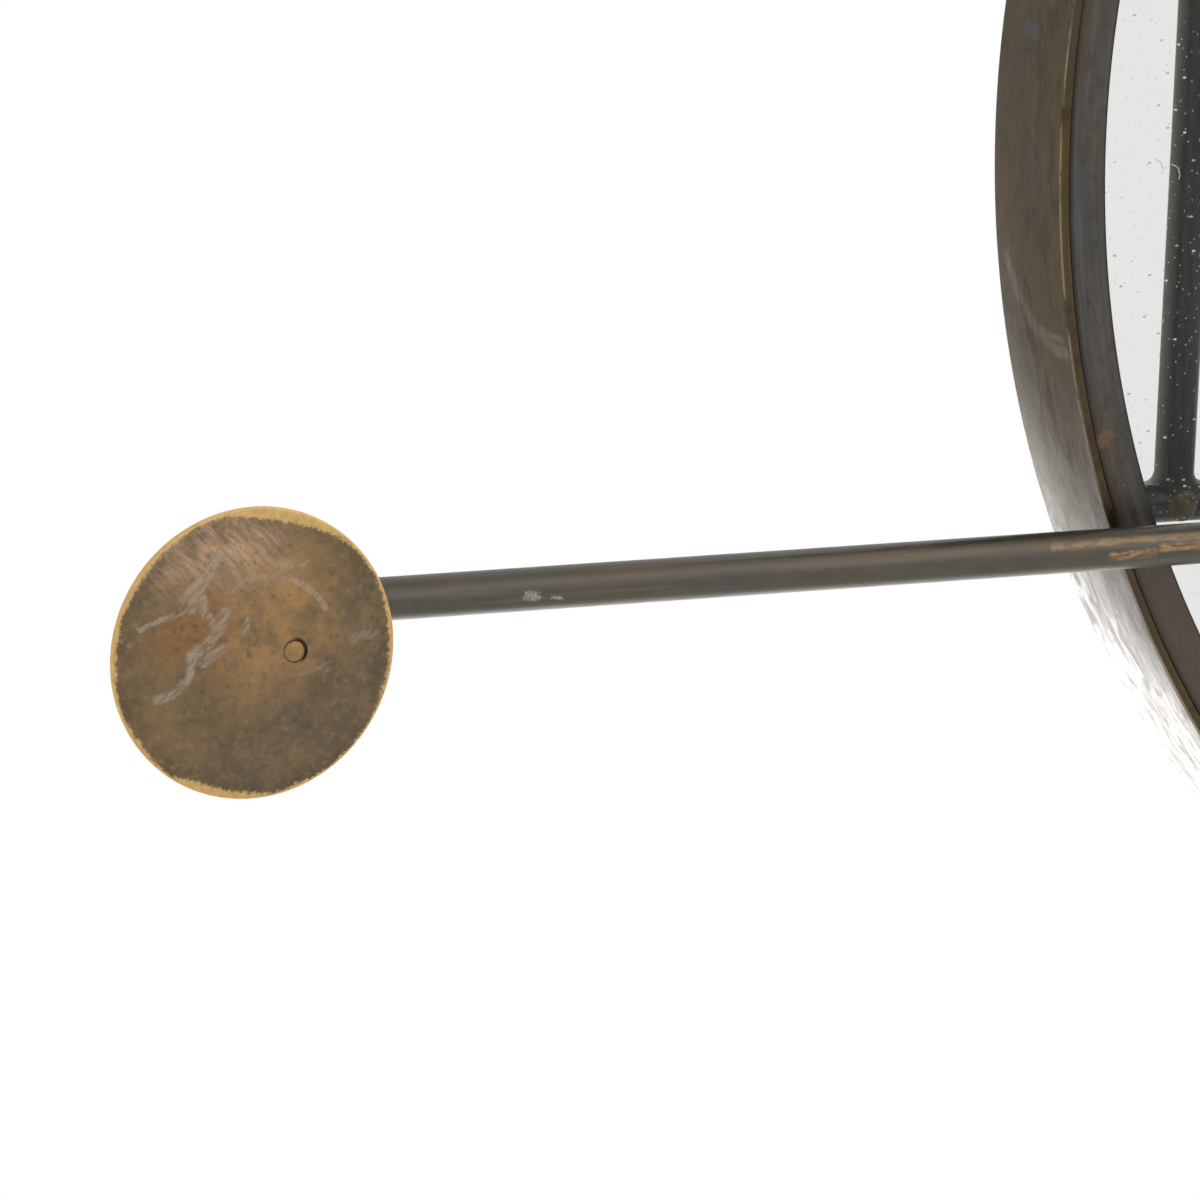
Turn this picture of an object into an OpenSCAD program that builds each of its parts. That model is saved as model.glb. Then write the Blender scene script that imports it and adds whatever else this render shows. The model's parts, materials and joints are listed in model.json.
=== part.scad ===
// Pendulum wall clock: a round hoop case with a mirror dial, a battery movement
// behind it, and a twin-rod frame pendulum that swings in front of the dial.
// Millimetres. +Z is up, +X is right, and the wall is the plane y = 0, so that
// the front of the clock faces -Y. The origin is the centre of the hanger's
// keyhole, on the face of the hanger bar that lies against the wall.

/* [Hoop and dial] */
// Outer diameter of the hoop band
hoop_d = 508; // [420:2:620]
// Thickness of the hoop band
hoop_t = 2.5; // [2:0.1:3.5]
// Width of the flat ring that frames the mirror, seen from the front
ring_w = 9.5; // [7:0.5:14]
// Thickness of the flat ring
ring_t = 4; // [3:0.5:6]
// Depth of the flat ring's face behind the hoop's front lip
ring_recess = 0.5; // [0:0.1:2]
// Thickness of the mirror glass
glass_t = 4; // [3:0.5:6]
// Thickness of the backing plate
backing_t = 3; // [2:0.5:5]
// Number of retaining tabs round the hoop
tab_count = 6; // [4:1:10]
// Length of each hour marker
marker_l = 20; // [10:1:30]
// Width of each hour marker
marker_w = 5; // [3:0.5:8]
// Thickness of each hour marker
marker_t = 1.5; // [1:0.1:2]

/* [Hanger] */
// Height of the keyhole above the centre of the dial
hanger_rise = 125; // [95:1:130]
// Width of the hanger bar
hanger_w = 26; // [22:1:36]
// Thickness of the hanger bar
hanger_t = 3; // [2:0.5:4]
// Diameter of the keyhole that passes the screw's head
keyhole_d = 10; // [8:0.5:12]
// Width of the keyhole's slot
slot_w = 5.5; // [4:0.5:6]
// Length of the slot above the keyhole's centre
slot_l = 11; // [9:0.5:11]

/* [Pendulum] */
// Diameter of the rods and crossbars
rod_d = 9.5; // [8:0.1:12]
// Distance between the axes of the two rods
rod_spacing = 188; // [140:2:230]
// Distance of the rods' axes in front of the hoop's lip
rod_standoff = 13; // [11:0.5:18]
// Height of the lower crossbar above the bottom of the hoop
lower_bar_inset = 51; // [40:1:70]
// Drop of the discs' centres below the bottom of the hoop
disc_drop = 198.7; // [120:0.1:240]
// Diameter of each pendulum disc
disc_d = 63.5; // [50:0.5:80]
// Thickness of each pendulum disc
disc_t = 1.6; // [1.2:0.1:4]
// Height of the rivet above the disc's centre
rivet_rise = 9; // [6:0.5:12]
// Diameter of the disc's rivet head
rivet_head_d = 4.8; // [4:0.1:7]
// Diameter of the hub that carries the pendulum
hub_d = 18; // [15:0.5:22]
// Length of the hub along its pin
hub_l = 10; // [10:0.5:14]
// Diameter of the pin that the hub turns on
pivot_pin_d = 6; // [4:0.5:7]
// Length of the tail above the pivot, to the magnet's centre
tail_l = 43; // [40:1:60]

/* [Hands] */
// Gap between the minute hand's tip and the suspension post's flange
minute_hand_gap = 11; // [6:1:40]
// Length that the hour hand is shorter than the minute hand
hour_hand_less = 46; // [35:1:60]
// Thickness of the hands
hand_t = 1; // [0.8:0.1:1.5]
// Length of each hand behind its centre
hand_tail = 28; // [18:1:40]

/* [Movement] */
// Width and height of the movement case
case_w = 60; // [60:1:72]
// Depth of the movement case
case_depth = 17; // [17:0.5:20]
// Wall thickness of the movement case
case_wall = 1.6; // [1.2:0.1:2]
// Outer diameter of the mounting bushing
bushing_d = 8; // [7.5:0.1:10]
// Diameter of the minute arbor
arbor_d = 3; // [2.6:0.1:3.2]
// Gap between the movement and the wall
wall_gap = 2.5; // [2:0.5:6]

/* [Fits] */
// Radial clearance of a shaft that turns in its bearing
run_gap = 0.05; // [0.03:0.01:0.08]
// Radial clearance of a hole that a bushing or post passes through
hole_gap = 0.2; // [0.1:0.05:0.5]
// End gap between pieces that turn past each other
end_gap = 0.3; // [0.2:0.05:0.4]

/* [Hidden] */
$fn = 96;

// Colours
bronze = "#4f4840";
ring_steel = "#565560";
brass = "#b08a4a";
aged_brass = "#7a6a4a";
steel = "#9a9c9e";
plastic = "#26272a";
white_plastic = "#d9d8d2";
copper = "#a8552e";

// Depths of the stack, from the wall forward: each piece starts where the last ends
case_back = -wall_gap;
case_front = case_back - case_depth;
gasket_t = 1;
backing_back = case_front - gasket_t;
glass_back = backing_back - backing_t;
glass_front = glass_back - glass_t;
ring_front = glass_front - ring_t;
lip_y = ring_front - ring_recess;
rod_y = lip_y - rod_standoff;

// Hoop
hoop_r = hoop_d / 2;
hoop_in_r = hoop_r - hoop_t;
lip_edge = 0.4;
plate_gap = 1;
plate_r = hoop_in_r - plate_gap;
tab_t = 2;
tab_l = 10;
tab_reach = 15;
tab_angle = 5;
bar_foot = 9;

// Holes through the glass and the backing
bushing_hole_r = bushing_d / 2 + hole_gap;
post_r = 5;
post_hole_r = post_r + hole_gap;

// Pendulum drive, its top corners a gap inside the hoop
drive_w = 58;
drive_h = 46;
drive_wall = 1.4;
drive_gap = 5.3;
drive_top = sqrt(pow(hoop_in_r - drive_gap, 2) - pow(drive_w / 2, 2));
drive_z = drive_top - drive_h / 2;
drive_coil_z = drive_z - 8.5;
drive_coil_r = 12;
drive_coil_t = 6;
drive_cell_z = drive_z + 14;
drive_back = case_back;
ear_w = 10;
ear_t = 2;
ear_x = drive_w / 2 + ear_w / 2;
drive_screw_r = 1.2;

// Pendulum
pivot_z = drive_coil_z - tail_l;
rod_r = rod_d / 2;
rod_x = rod_spacing / 2;
lower_bar_z = -hoop_r + lower_bar_inset;
disc_z = -hoop_r - disc_drop;
disc_r = disc_d / 2;
disc_tab_t = 3;
disc_back = rod_y - rod_r - 0.25;
lap_y = disc_back + disc_tab_t;
disc_front = disc_back - disc_t;
rivet_r = 1.6;
rivet_seat = 0.5;
rivet_seat_gap = 0.5;
rivet_head_r = rivet_head_d / 2;
rivet_clearance = 1.3;
disc_x = rod_x + rod_r + rivet_head_r + rivet_clearance;
rivet_z = disc_z + rivet_rise;
lap_top = disc_z + disc_r - 6;
rod_end = rivet_z - 5;
braze_r = 3;
hub_r = hub_d / 2;
pin_r = pivot_pin_d / 2;
hub_back = rod_y + hub_l / 2;
hub_front = rod_y - hub_l / 2;
hub_bush_r = pin_r + 2;
flange_r = hub_r;
flange_t = 2.5;
spacer_r = 6;
cap_r = 7;
cap_l = 5.5;
tail_r = 3;
magnet_r = 6;
cup_r = 7.5;
cup_back = rod_y + 7;
cup_front = rod_y - tail_r - 0.6;
magnet_back = cup_back + 3;
bar_rivet_r = 1.6;
bar_rivet_head_r = 3.8;

// Hour markers start just outside the post's flange
marker_in = pivot_z + flange_r + 3;
minute_hand_l = pivot_z - flange_r - minute_hand_gap;
hour_hand_l = minute_hand_l - hour_hand_less;

// Movement: the hour pipe turns in the bushing, the minute arbor in the pipe
arbor_r = arbor_d / 2;
pipe_in_r = arbor_r + run_gap;
pipe_r = bushing_d / 2 - 1.5;
bushing_in_r = pipe_r + run_gap;
nut_t = 2.5;
washer_t = 0.5;
bushing_front = glass_front - washer_t - nut_t - 0.5;
hour_hand_back = bushing_front - 1;
hour_hand_front = hour_hand_back - hand_t;
minute_hand_back = hour_hand_front - 1.5;
minute_hand_front = minute_hand_back - hand_t;
case_skin = 1.2;
case_in = case_front + case_skin;
cover_in = case_back - case_skin;
bay_wall_z = -13.3;
cell_r = 7.1;
cell_l = 50.5;
cell_z = bay_wall_z - 0.2 - cell_r;
cell_y = (case_in + cover_in) / 2;
contact_t = 0.4;
knob_r = 7.5;
dish_r = knob_r + 1.3;
dish_floor = case_back - 2.5;
boss_r = 1.6;

// The hands stand at ten past ten
minute_hand_at = 60;
hour_hand_at = -55;

// Wheel train: [teeth, module], and where each wheel lies
centre_gear = [60, 0.4];
third_pinion_gear = [12, 0.4];
third_gear = [60, 0.35];
rotor_gear = [10, 0.35];
cannon_gear = [12, 0.4];
motion_gear = [36, 0.4];
motion_pinion_gear = [12, 0.32];
hour_gear = [48, 0.32];
third_dir = 150;
rotor_dir = 60;
motion_dir = 16;
third_at = polar(spacing(centre_gear, third_pinion_gear), third_dir);
rotor_at = third_at + polar(spacing(third_gear, rotor_gear), rotor_dir);
motion_at = polar(spacing(cannon_gear, motion_gear), motion_dir);
hour_wheel_y = case_in + 0.5;
hour_wheel_t = 1.2;
cannon_y = hour_wheel_y + hour_wheel_t + 0.6;
cannon_t = 1.5;
centre_wheel_y = cannon_y + cannon_t + 0.7;
centre_wheel_t = 1.2;
third_wheel_y = centre_wheel_y + centre_wheel_t + 1;
third_wheel_t = 1;
rotor_y = third_wheel_y + third_wheel_t + 1;
rotor_t = 3.2;
rotor_r = 3;
fine_arbor_r = 0.6;
stud_r = 1;
front_pivot = case_front + 0.4;
rear_pivot = cover_in - 0.5;
front_boss = case_in + 1.8;
rear_boss = cover_in - 1.8;

// Motor
stator_y = rotor_y + 1;
stator_t = 1.2;
coil_x = 19;
coil_bottom = -4;
coil_top = 20;
core_w = 4;
coil_r = 4;
coil_y = stator_y + stator_t / 2;
flange_plate = 1;
board_x = 18.4;
board_w = 9;
board_y = case_in + 0.7;
board_t = 1;

function polar(r, a) = [r * cos(a), r * sin(a)];
function pitch_r(gear) = gear[0] * gear[1] / 2;
function spacing(a, b) = pitch_r(a) + pitch_r(b);
// Outline of a spur gear with straight-sided teeth, one tooth centred at angle phase
function gear_outline(gear, phase) = [
  for (i = [0 : gear[0] - 1])
    for (corner = [[-0.30, -1.15], [-0.11, 0.75], [0.11, 0.75], [0.30, -1.15]])
      polar(pitch_r(gear) + corner[1] * gear[1], phase + (i + corner[0]) * 360 / gear[0])
];
// Phase of a gear that meshes with another lying in direction dir from it
function meshed(gear, dir) = dir + 180 / gear[0];

// Helpers: solids that run along Y from y0 (front) to y1 (back)
module at_centre() {
  translate([0, 0, -hanger_rise]) children();
}
module plate(y0, y1) {
  rotate([90, 0, 0]) translate([0, 0, -y1]) linear_extrude(y1 - y0) children();
}
module rod_y_dir(r, y0, y1) {
  rotate([90, 0, 0]) translate([0, 0, -y1]) cylinder(h = y1 - y0, r = r);
}
module tube_y_dir(r, hole, y0, y1) {
  difference() {
    rod_y_dir(r, y0, y1);
    rod_y_dir(hole, y0 - 1, y1 + 1);
  }
}
module box_xyz(x0, x1, y0, y1, z0, z1) {
  translate([x0, y0, z0]) cube([x1 - x0, y1 - y0, z1 - z0]);
}
// Turned about Y: outline points are [radius, y]
module turned(outline, start = 0, angle = 360) {
  rotate([90, 0, 0]) rotate([0, 0, start]) rotate_extrude(angle = angle)
    polygon([for (p = outline) [p[0], -p[1]]]);
}
module at_xz(p) {
  translate([p[0], 0, p[1]]) children();
}
// A bar shape with round ends, between two points
module capsule(a, b, r) {
  steps = 24;
  d = b - a;
  translate(a) rotate(atan2(d[1], d[0])) polygon([
    for (i = [0 : steps]) [norm(d), 0] + polar(r, -90 + i * 180 / steps),
    for (i = [0 : steps]) polar(r, 90 + i * 180 / steps)]);
}
module gear(spec, phase, y0, y1, hole_r) {
  plate(y0, y1) difference() {
    polygon(gear_outline(spec, phase));
    circle(hole_r / cos(15), $fn = 12);
  }
}
module both_sides() {
  children();
  mirror([1, 0, 0]) children();
}
module hex_nut(across, hole_r, y0, y1) {
  difference() {
    plate(y0, y1) circle(across / 2 / cos(30), $fn = 6);
    rod_y_dir(hole_r, y0 - 1, y1 + 1);
  }
}

// Case
module hoop_band() {
  e = lip_edge;
  color(bronze) at_centre() turned([[hoop_in_r, 0], [hoop_in_r, lip_y + e],
    [hoop_in_r + e, lip_y], [hoop_r - e, lip_y], [hoop_r, lip_y + e], [hoop_r, 0]]);
}
module bezel_ring() {
  e = lip_edge;
  ring_in_r = hoop_in_r - ring_w;
  color(ring_steel) at_centre() turned([[ring_in_r, glass_front], [ring_in_r, ring_front + e],
    [ring_in_r + e, ring_front], [hoop_in_r - e, ring_front], [hoop_in_r, ring_front + e],
    [hoop_in_r, glass_front]]);
}
module mirror_dial() {
  color("#dfe2e2") at_centre() difference() {
    rod_y_dir(plate_r, glass_front, glass_back);
    rod_y_dir(bushing_hole_r, glass_front - 1, glass_back + 1);
    at_xz([0, pivot_z]) rod_y_dir(post_hole_r, glass_front - 1, glass_back + 1);
  }
}
module backing_plate() {
  color("#6b5236") at_centre() difference() {
    rod_y_dir(plate_r, glass_back, backing_back);
    rod_y_dir(bushing_hole_r, glass_back - 1, backing_back + 1);
    at_xz([0, pivot_z]) rod_y_dir(post_hole_r, glass_back - 1, backing_back + 1);
    at_xz([0, drive_coil_z]) rod_y_dir(drive_coil_r + 0.5, glass_back - 1, backing_back + 1);
    both_sides() at_xz([ear_x, drive_z])
      rod_y_dir(drive_screw_r, glass_back + 0.5, backing_back + 1);
  }
}
module retaining_tabs() {
  leg_r = hoop_in_r - tab_t;
  color(steel) at_centre() for (i = [0 : tab_count - 1])
    turned([[hoop_in_r, backing_back], [hoop_in_r, backing_back + tab_l],
      [leg_r, backing_back + tab_l], [leg_r, backing_back + tab_t],
      [hoop_in_r - tab_reach, backing_back + tab_t], [hoop_in_r - tab_reach, backing_back]],
      start = 90 + (i + 0.5) * 360 / tab_count - tab_angle / 2, angle = tab_angle);
}
module keyhole() {
  circle(keyhole_d / 2);
  translate([-slot_w / 2, 0]) square([slot_w, slot_l - slot_w / 2]);
  translate([0, slot_l - slot_w / 2]) circle(slot_w / 2);
}
// A strip across the back of the hoop, its ends bent forward to meet the band
module hanger_bar() {
  color(steel) difference() {
    intersection() {
      box_xyz(-hoop_r, hoop_r, -bar_foot, 0, -hanger_w / 2, hanger_w / 2);
      at_centre() rod_y_dir(hoop_in_r, -bar_foot, 0);
    }
    at_centre() rod_y_dir(hoop_in_r - hanger_t, -bar_foot - 1, -hanger_t);
    plate(-hanger_t - 1, 1) keyhole();
  }
}
module hour_markers() {
  color(brass) at_centre() for (hour = [0 : 11])
    rotate([0, hour * 30, 0]) box_xyz(-marker_w / 2, marker_w / 2,
      glass_front - marker_t, glass_front, marker_in, marker_in + marker_l);
}

// Movement, fixed pieces
module case_holes() {
  rod_y_dir(bushing_d / 2, case_front - 1, case_in + 1);
  for (p = [third_at, rotor_at]) at_xz(p)
    rod_y_dir(fine_arbor_r + run_gap, front_pivot - 0.1, front_boss + 1);
}
module movement_case() {
  w = case_w / 2;
  v = w - case_wall;
  color(plastic) at_centre() difference() {
    union() {
      difference() {
        box_xyz(-w, w, case_front, cover_in, -w, w);
        box_xyz(-v, v, case_in, case_back, -v, v);
      }
      box_xyz(-w + 0.5, w - 0.5, case_in - 0.5, cover_in, bay_wall_z, bay_wall_z + 0.7);
      for (p = [third_at, rotor_at]) at_xz(p) rod_y_dir(boss_r, case_in - 0.5, front_boss);
      at_xz(motion_at) rod_y_dir(stud_r, case_in - 0.5, cannon_y + cannon_t + 0.3);
    }
    case_holes();
  }
}
module movement_cover() {
  w = case_w / 2;
  color(plastic) at_centre() difference() {
    union() {
      box_xyz(-w, w, cover_in, case_back, bay_wall_z, w);
      rod_y_dir(dish_r + case_skin, dish_floor - case_skin, case_back);
      for (p = [third_at, rotor_at]) at_xz(p) rod_y_dir(boss_r, rear_boss, cover_in + 0.5);
    }
    rod_y_dir(dish_r, dish_floor, case_back + 1);
    rod_y_dir(arbor_r + run_gap, dish_floor - case_skin - 1, dish_floor + 1);
    for (p = [third_at, rotor_at]) at_xz(p)
      rod_y_dir(fine_arbor_r + run_gap, rear_boss - 1, rear_pivot + 0.1);
  }
}
// A round cell lying along X, with its raised positive end at +X
module cell_along_x(y, z) {
  nub = 1.2;
  translate([-cell_l / 2, y, z]) rotate([0, 90, 0]) {
    cylinder(h = cell_l - nub, r = cell_r);
    cylinder(h = cell_l, r = 2.7);
  }
}
module battery() {
  color("#3a3f46") at_centre() cell_along_x(cell_y, cell_z);
}
module contact_positive() {
  x1 = case_w / 2 - case_wall;
  color(steel) at_centre() {
    box_xyz(x1 - contact_t, x1, cell_y - 5, cell_y + 5, cell_z - 5, cell_z + 5);
    translate([cell_l / 2, cell_y, cell_z]) rotate([0, 90, 0])
      cylinder(h = x1 - contact_t - cell_l / 2, r = 2);
  }
}
module contact_negative() {
  x0 = -case_w / 2 + case_wall;
  color(steel) at_centre() {
    box_xyz(x0, x0 + contact_t, cell_y - 5, cell_y + 5, cell_z - 5, cell_z + 5);
    translate([x0 + contact_t, cell_y, cell_z]) rotate([0, 90, 0])
      cylinder(h = -cell_l / 2 - x0 - contact_t, r1 = 4.5, r2 = 2.5);
  }
}
module circuit_board() {
  color("#2f5a3a") at_centre()
    box_xyz(board_x, board_x + board_w, board_y, board_y + board_t, -9, 26);
}
module control_chip() {
  color("#141414") at_centre() translate([board_x + board_w / 2, 0, 4])
    turned([[0, board_y + board_t], [3.2, board_y + board_t], [2.4, board_y + board_t + 1],
      [0, board_y + board_t + 1.3]]);
}
module quartz_crystal() {
  can_r = 1;
  color("#c9cbcd") at_centre() translate([board_x + board_w / 2, board_y + board_t + can_r, 12])
    cylinder(h = 6, r = can_r);
}
module bobbin_hole() {
  translate([coil_x - core_w / 2, stator_y, coil_bottom - 1])
    cube([core_w, stator_t, coil_top - coil_bottom + 2]);
}
module coil_bobbin() {
  color(white_plastic) at_centre() difference() {
    translate([coil_x, coil_y, coil_bottom]) {
      cylinder(h = coil_top - coil_bottom, r = 2.6);
      cylinder(h = flange_plate, r = coil_r);
      translate([0, 0, coil_top - coil_bottom - flange_plate])
        cylinder(h = flange_plate, r = coil_r);
    }
    bobbin_hole();
  }
}
module motor_coil() {
  color(copper) at_centre() translate([coil_x, coil_y, coil_bottom + flange_plate]) difference() {
    cylinder(h = coil_top - coil_bottom - 2 * flange_plate, r = coil_r - 0.3);
    translate([0, 0, -1]) cylinder(h = coil_top - coil_bottom, r = 2.6);
  }
}
// Iron plate: the rotor's hole, two arms, and the core that passes through the coil
module motor_stator() {
  c = core_w / 2;
  color("#7d7f82") at_centre() plate(stator_y, stator_y + stator_t) difference() {
    union() {
      translate(rotor_at) circle(6.4);
      translate([rotor_at[0], coil_top]) square([coil_x + c - rotor_at[0], core_w]);
      translate([rotor_at[0], rotor_at[1] - 6.4]) square([12 - rotor_at[0], core_w]);
      translate([12 - core_w, coil_bottom - core_w])
        square([core_w, rotor_at[1] - 6.4 + core_w - coil_bottom + core_w]);
      translate([12 - core_w, coil_bottom - core_w]) square([coil_x + c - 12 + core_w, core_w]);
      translate([coil_x - c, coil_bottom - 1]) square([core_w, coil_top - coil_bottom + 2]);
    }
    translate(rotor_at) circle(rotor_r + 0.6);
  }
}
module mounting_bushing() {
  color(brass) at_centre()
    tube_y_dir(bushing_d / 2, bushing_in_r, bushing_front, case_in);
}
module bushing_washer() {
  color(brass) at_centre()
    tube_y_dir(bushing_d / 2 + 4, bushing_d / 2, glass_front - washer_t, glass_front);
}
module bushing_nut() {
  y1 = glass_front - washer_t;
  color(brass) at_centre() hex_nut(bushing_d + 4, bushing_d / 2, y1 - nut_t, y1);
}
module dial_gasket() {
  color("#1c1c1c") at_centre()
    tube_y_dir(bushing_d / 2 + 9, bushing_d / 2, backing_back, case_front);
}

// Suspension post and pendulum drive
module suspension_post() {
  color(bronze) at_centre() at_xz([0, pivot_z]) {
    rod_y_dir(post_r, glass_front - 1, backing_back + 8);
    rod_y_dir(flange_r, glass_front - flange_t, glass_front);
    rod_y_dir(spacer_r, hub_back + end_gap, glass_front - 1);
    rod_y_dir(pin_r, hub_front - end_gap - 4, hub_back + end_gap + 1);
  }
}
module post_nut() {
  color(steel) at_centre() at_xz([0, pivot_z]) {
    tube_y_dir(post_r + 4.5, post_r, backing_back, backing_back + 1);
    hex_nut(2 * post_r + 6, post_r, backing_back + 1, backing_back + 6);
  }
}
module pivot_cap() {
  y1 = hub_front - end_gap;
  y0 = y1 - cap_l;
  color(brass) at_centre() at_xz([0, pivot_z])
    turned([[0, y0], [3, y0 + 0.3], [5.4, y0 + 1.4], [cap_r, y0 + 3.4], [cap_r, y1],
      [pin_r, y1], [pin_r, y1 - 4], [0, y1 - 4]]);
}
module drive_case() {
  w = drive_w / 2;
  v = w - drive_wall;
  low = drive_z - drive_h / 2;
  color(plastic) at_centre() difference() {
    union() {
      difference() {
        box_xyz(-w, w, backing_back, drive_back - case_skin, low, drive_top);
        box_xyz(-v, v, backing_back - 1, drive_back, low + drive_wall, drive_top - drive_wall);
      }
      both_sides() box_xyz(w - 0.5, w + ear_w, backing_back, backing_back + ear_t,
        drive_z - 6, drive_z + 6);
    }
    both_sides() at_xz([ear_x, drive_z])
      rod_y_dir(drive_screw_r, backing_back - 1, backing_back + ear_t + 1);
  }
}
module drive_cover() {
  w = drive_w / 2;
  color(plastic) at_centre()
    box_xyz(-w, w, drive_back - case_skin, drive_back, drive_z - drive_h / 2, drive_top);
}
module drive_coil() {
  color(copper) at_centre() at_xz([0, drive_coil_z])
    tube_y_dir(drive_coil_r, 4, glass_back, glass_back + drive_coil_t);
}
module drive_battery() {
  y = (backing_back + drive_back - case_skin) / 2;
  color("#3a3f46") at_centre() cell_along_x(y, drive_cell_z);
}
module drive_screws() {
  head = backing_back + ear_t;
  color(steel) at_centre() both_sides() at_xz([ear_x, drive_z])
    turned([[0, glass_back + 0.5], [drive_screw_r, glass_back + 0.5], [drive_screw_r, head],
      [2.8, head], [2.6, head + 0.8], [1.6, head + 1.5], [0, head + 1.8]]);
}

// Minute hand's body
module minute_arbor() {
  color(steel) at_centre() rod_y_dir(arbor_r, minute_hand_front - 1.5, dish_floor + 2.2);
}
// A straight hand that widens to its counterweight, with a round boss
module hand(length, w_tip, w_root, boss, hole, y0, y1) {
  difference() {
    union() {
      plate(y0, y1) polygon([[-w_tip / 2, length], [w_tip / 2, length], [w_root / 2, 0],
        [w_root * 0.75, -hand_tail], [-w_root * 0.75, -hand_tail], [-w_root / 2, 0]]);
      rod_y_dir(boss, y0, y1);
    }
    rod_y_dir(hole, y0 - 1, y1 + 1);
  }
}
module minute_hand() {
  color(bronze) at_centre() rotate([0, minute_hand_at, 0])
    hand(minute_hand_l, 2, 6, 6, arbor_r, minute_hand_front, minute_hand_back);
}
module hand_nut() {
  y1 = minute_hand_front;
  color(brass) at_centre() turned([[arbor_r, y1], [3.2, y1], [3.2, y1 - 1.6], [2.2, y1 - 2.2],
    [0, y1 - 2.4], [0, y1 - 1.5], [arbor_r, y1 - 1.5]]);
}
module centre_wheel() {
  color(brass) at_centre() gear(centre_gear, third_dir, centre_wheel_y,
    centre_wheel_y + centre_wheel_t, arbor_r);
}
module cannon_pinion() {
  color(brass) at_centre() gear(cannon_gear, motion_dir, cannon_y, cannon_y + cannon_t, arbor_r);
}
module set_knob() {
  y0 = dish_floor + end_gap;
  y1 = -1.2;
  flutes = 16;
  color(white_plastic) at_centre() difference() {
    rod_y_dir(knob_r, y0, y1);
    rod_y_dir(arbor_r, y0 - 1, dish_floor + 2.2);
    for (i = [0 : flutes - 1]) at_xz(polar(knob_r + 0.4, i * 360 / flutes))
      rod_y_dir(0.9, y0 - 1, y1 + 1);
  }
}

// Hour hand's body
module hour_pipe() {
  color(brass) at_centre()
    tube_y_dir(pipe_r, pipe_in_r, hour_hand_front - 0.3, hour_wheel_y + hour_wheel_t);
}
module hour_hand() {
  color(bronze) at_centre() rotate([0, hour_hand_at, 0])
    hand(hour_hand_l, 4, 9, 8, pipe_r, hour_hand_front, hour_hand_back);
}
module hour_wheel() {
  color(white_plastic) at_centre() gear(hour_gear, meshed(hour_gear, motion_dir), hour_wheel_y,
    hour_wheel_y + hour_wheel_t, pipe_r);
}

// Motion work, third wheel and rotor
module motion_wheel() {
  color(white_plastic) at_centre() at_xz(motion_at)
    gear(motion_gear, meshed(motion_gear, motion_dir + 180), cannon_y, cannon_y + cannon_t,
      stud_r + run_gap);
}
module motion_pinion() {
  color(white_plastic) at_centre() at_xz(motion_at)
    gear(motion_pinion_gear, motion_dir + 180, hour_wheel_y, cannon_y, stud_r + run_gap);
}
module third_arbor() {
  color(steel) at_centre() at_xz(third_at) rod_y_dir(fine_arbor_r, front_pivot, rear_pivot);
}
module third_wheel() {
  color(brass) at_centre() at_xz(third_at) gear(third_gear, rotor_dir, third_wheel_y,
    third_wheel_y + third_wheel_t, fine_arbor_r);
}
module third_pinion() {
  color(brass) at_centre() at_xz(third_at)
    gear(third_pinion_gear, meshed(third_pinion_gear, third_dir + 180),
      centre_wheel_y - 0.2, third_wheel_y, fine_arbor_r);
}
module rotor_magnet() {
  color("#5a5c60") at_centre() at_xz(rotor_at)
    tube_y_dir(rotor_r, fine_arbor_r, rotor_y, rotor_y + rotor_t);
}
module rotor_pinion() {
  color(white_plastic) at_centre() at_xz(rotor_at) {
    rod_y_dir(fine_arbor_r, front_pivot, rear_pivot);
    plate(third_wheel_y - 0.4, rotor_y)
      polygon(gear_outline(rotor_gear, meshed(rotor_gear, rotor_dir + 180)));
  }
}

// Pendulum
module pendulum_rod() {
  difference() {
    translate([rod_x, rod_y, rod_end]) cylinder(h = pivot_z + rod_r + 4 - rod_end, r = rod_r);
    box_xyz(rod_x - rod_d, rod_x + rod_d, rod_y - rod_d, lap_y, rod_end - 1, lap_top);
    for (z = [pivot_z, lower_bar_z]) at_xz([rod_x, z])
      rod_y_dir(bar_rivet_r, rod_y - 1, rod_y + rod_d);
  }
}
module rod_left() {
  color(bronze) at_centre() mirror([1, 0, 0]) pendulum_rod();
}
module rod_right() {
  color(bronze) at_centre() pendulum_rod();
}
// A crossbar from x0 to the rod, with a brazed fillet at the rod
module crossbar_half(z, x0) {
  fillet_x = rod_x - rod_r;
  end_x = rod_x - 0.3 * rod_r;
  translate([0, rod_y, z]) difference() {
    union() {
      translate([x0, 0, 0]) rotate([0, 90, 0]) cylinder(h = end_x - x0, r = rod_r);
      intersection() {
        rotate([0, 90, 0]) rotate_extrude() difference() {
          translate([0, fillet_x - braze_r]) square([rod_r + braze_r, braze_r + rod_r]);
          translate([rod_r + braze_r, fillet_x - braze_r]) circle(braze_r);
        }
        box_xyz(x0, end_x, -rod_r * 0.9, rod_r * 0.9, -rod_d * 2, rod_d * 2);
      }
    }
    translate([rod_x, 0, -rod_d * 3]) cylinder(h = rod_d * 6, r = rod_r);
  }
}
module crossbar_upper() {
  color(bronze) at_centre() both_sides() difference() {
    crossbar_half(pivot_z, hub_r * 0.8);
    at_xz([0, pivot_z]) rod_y_dir(hub_r, hub_front - 1, hub_back + 1);
  }
}
module crossbar_lower() {
  color(bronze) at_centre() both_sides() crossbar_half(lower_bar_z, -1);
}
module pendulum_hub() {
  color(bronze) at_centre() at_xz([0, pivot_z])
    tube_y_dir(hub_r, hub_bush_r, hub_front, hub_back);
}
module hub_bushing() {
  color(brass) at_centre() at_xz([0, pivot_z])
    tube_y_dir(hub_bush_r, pin_r + run_gap, hub_front, hub_back);
}
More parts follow.
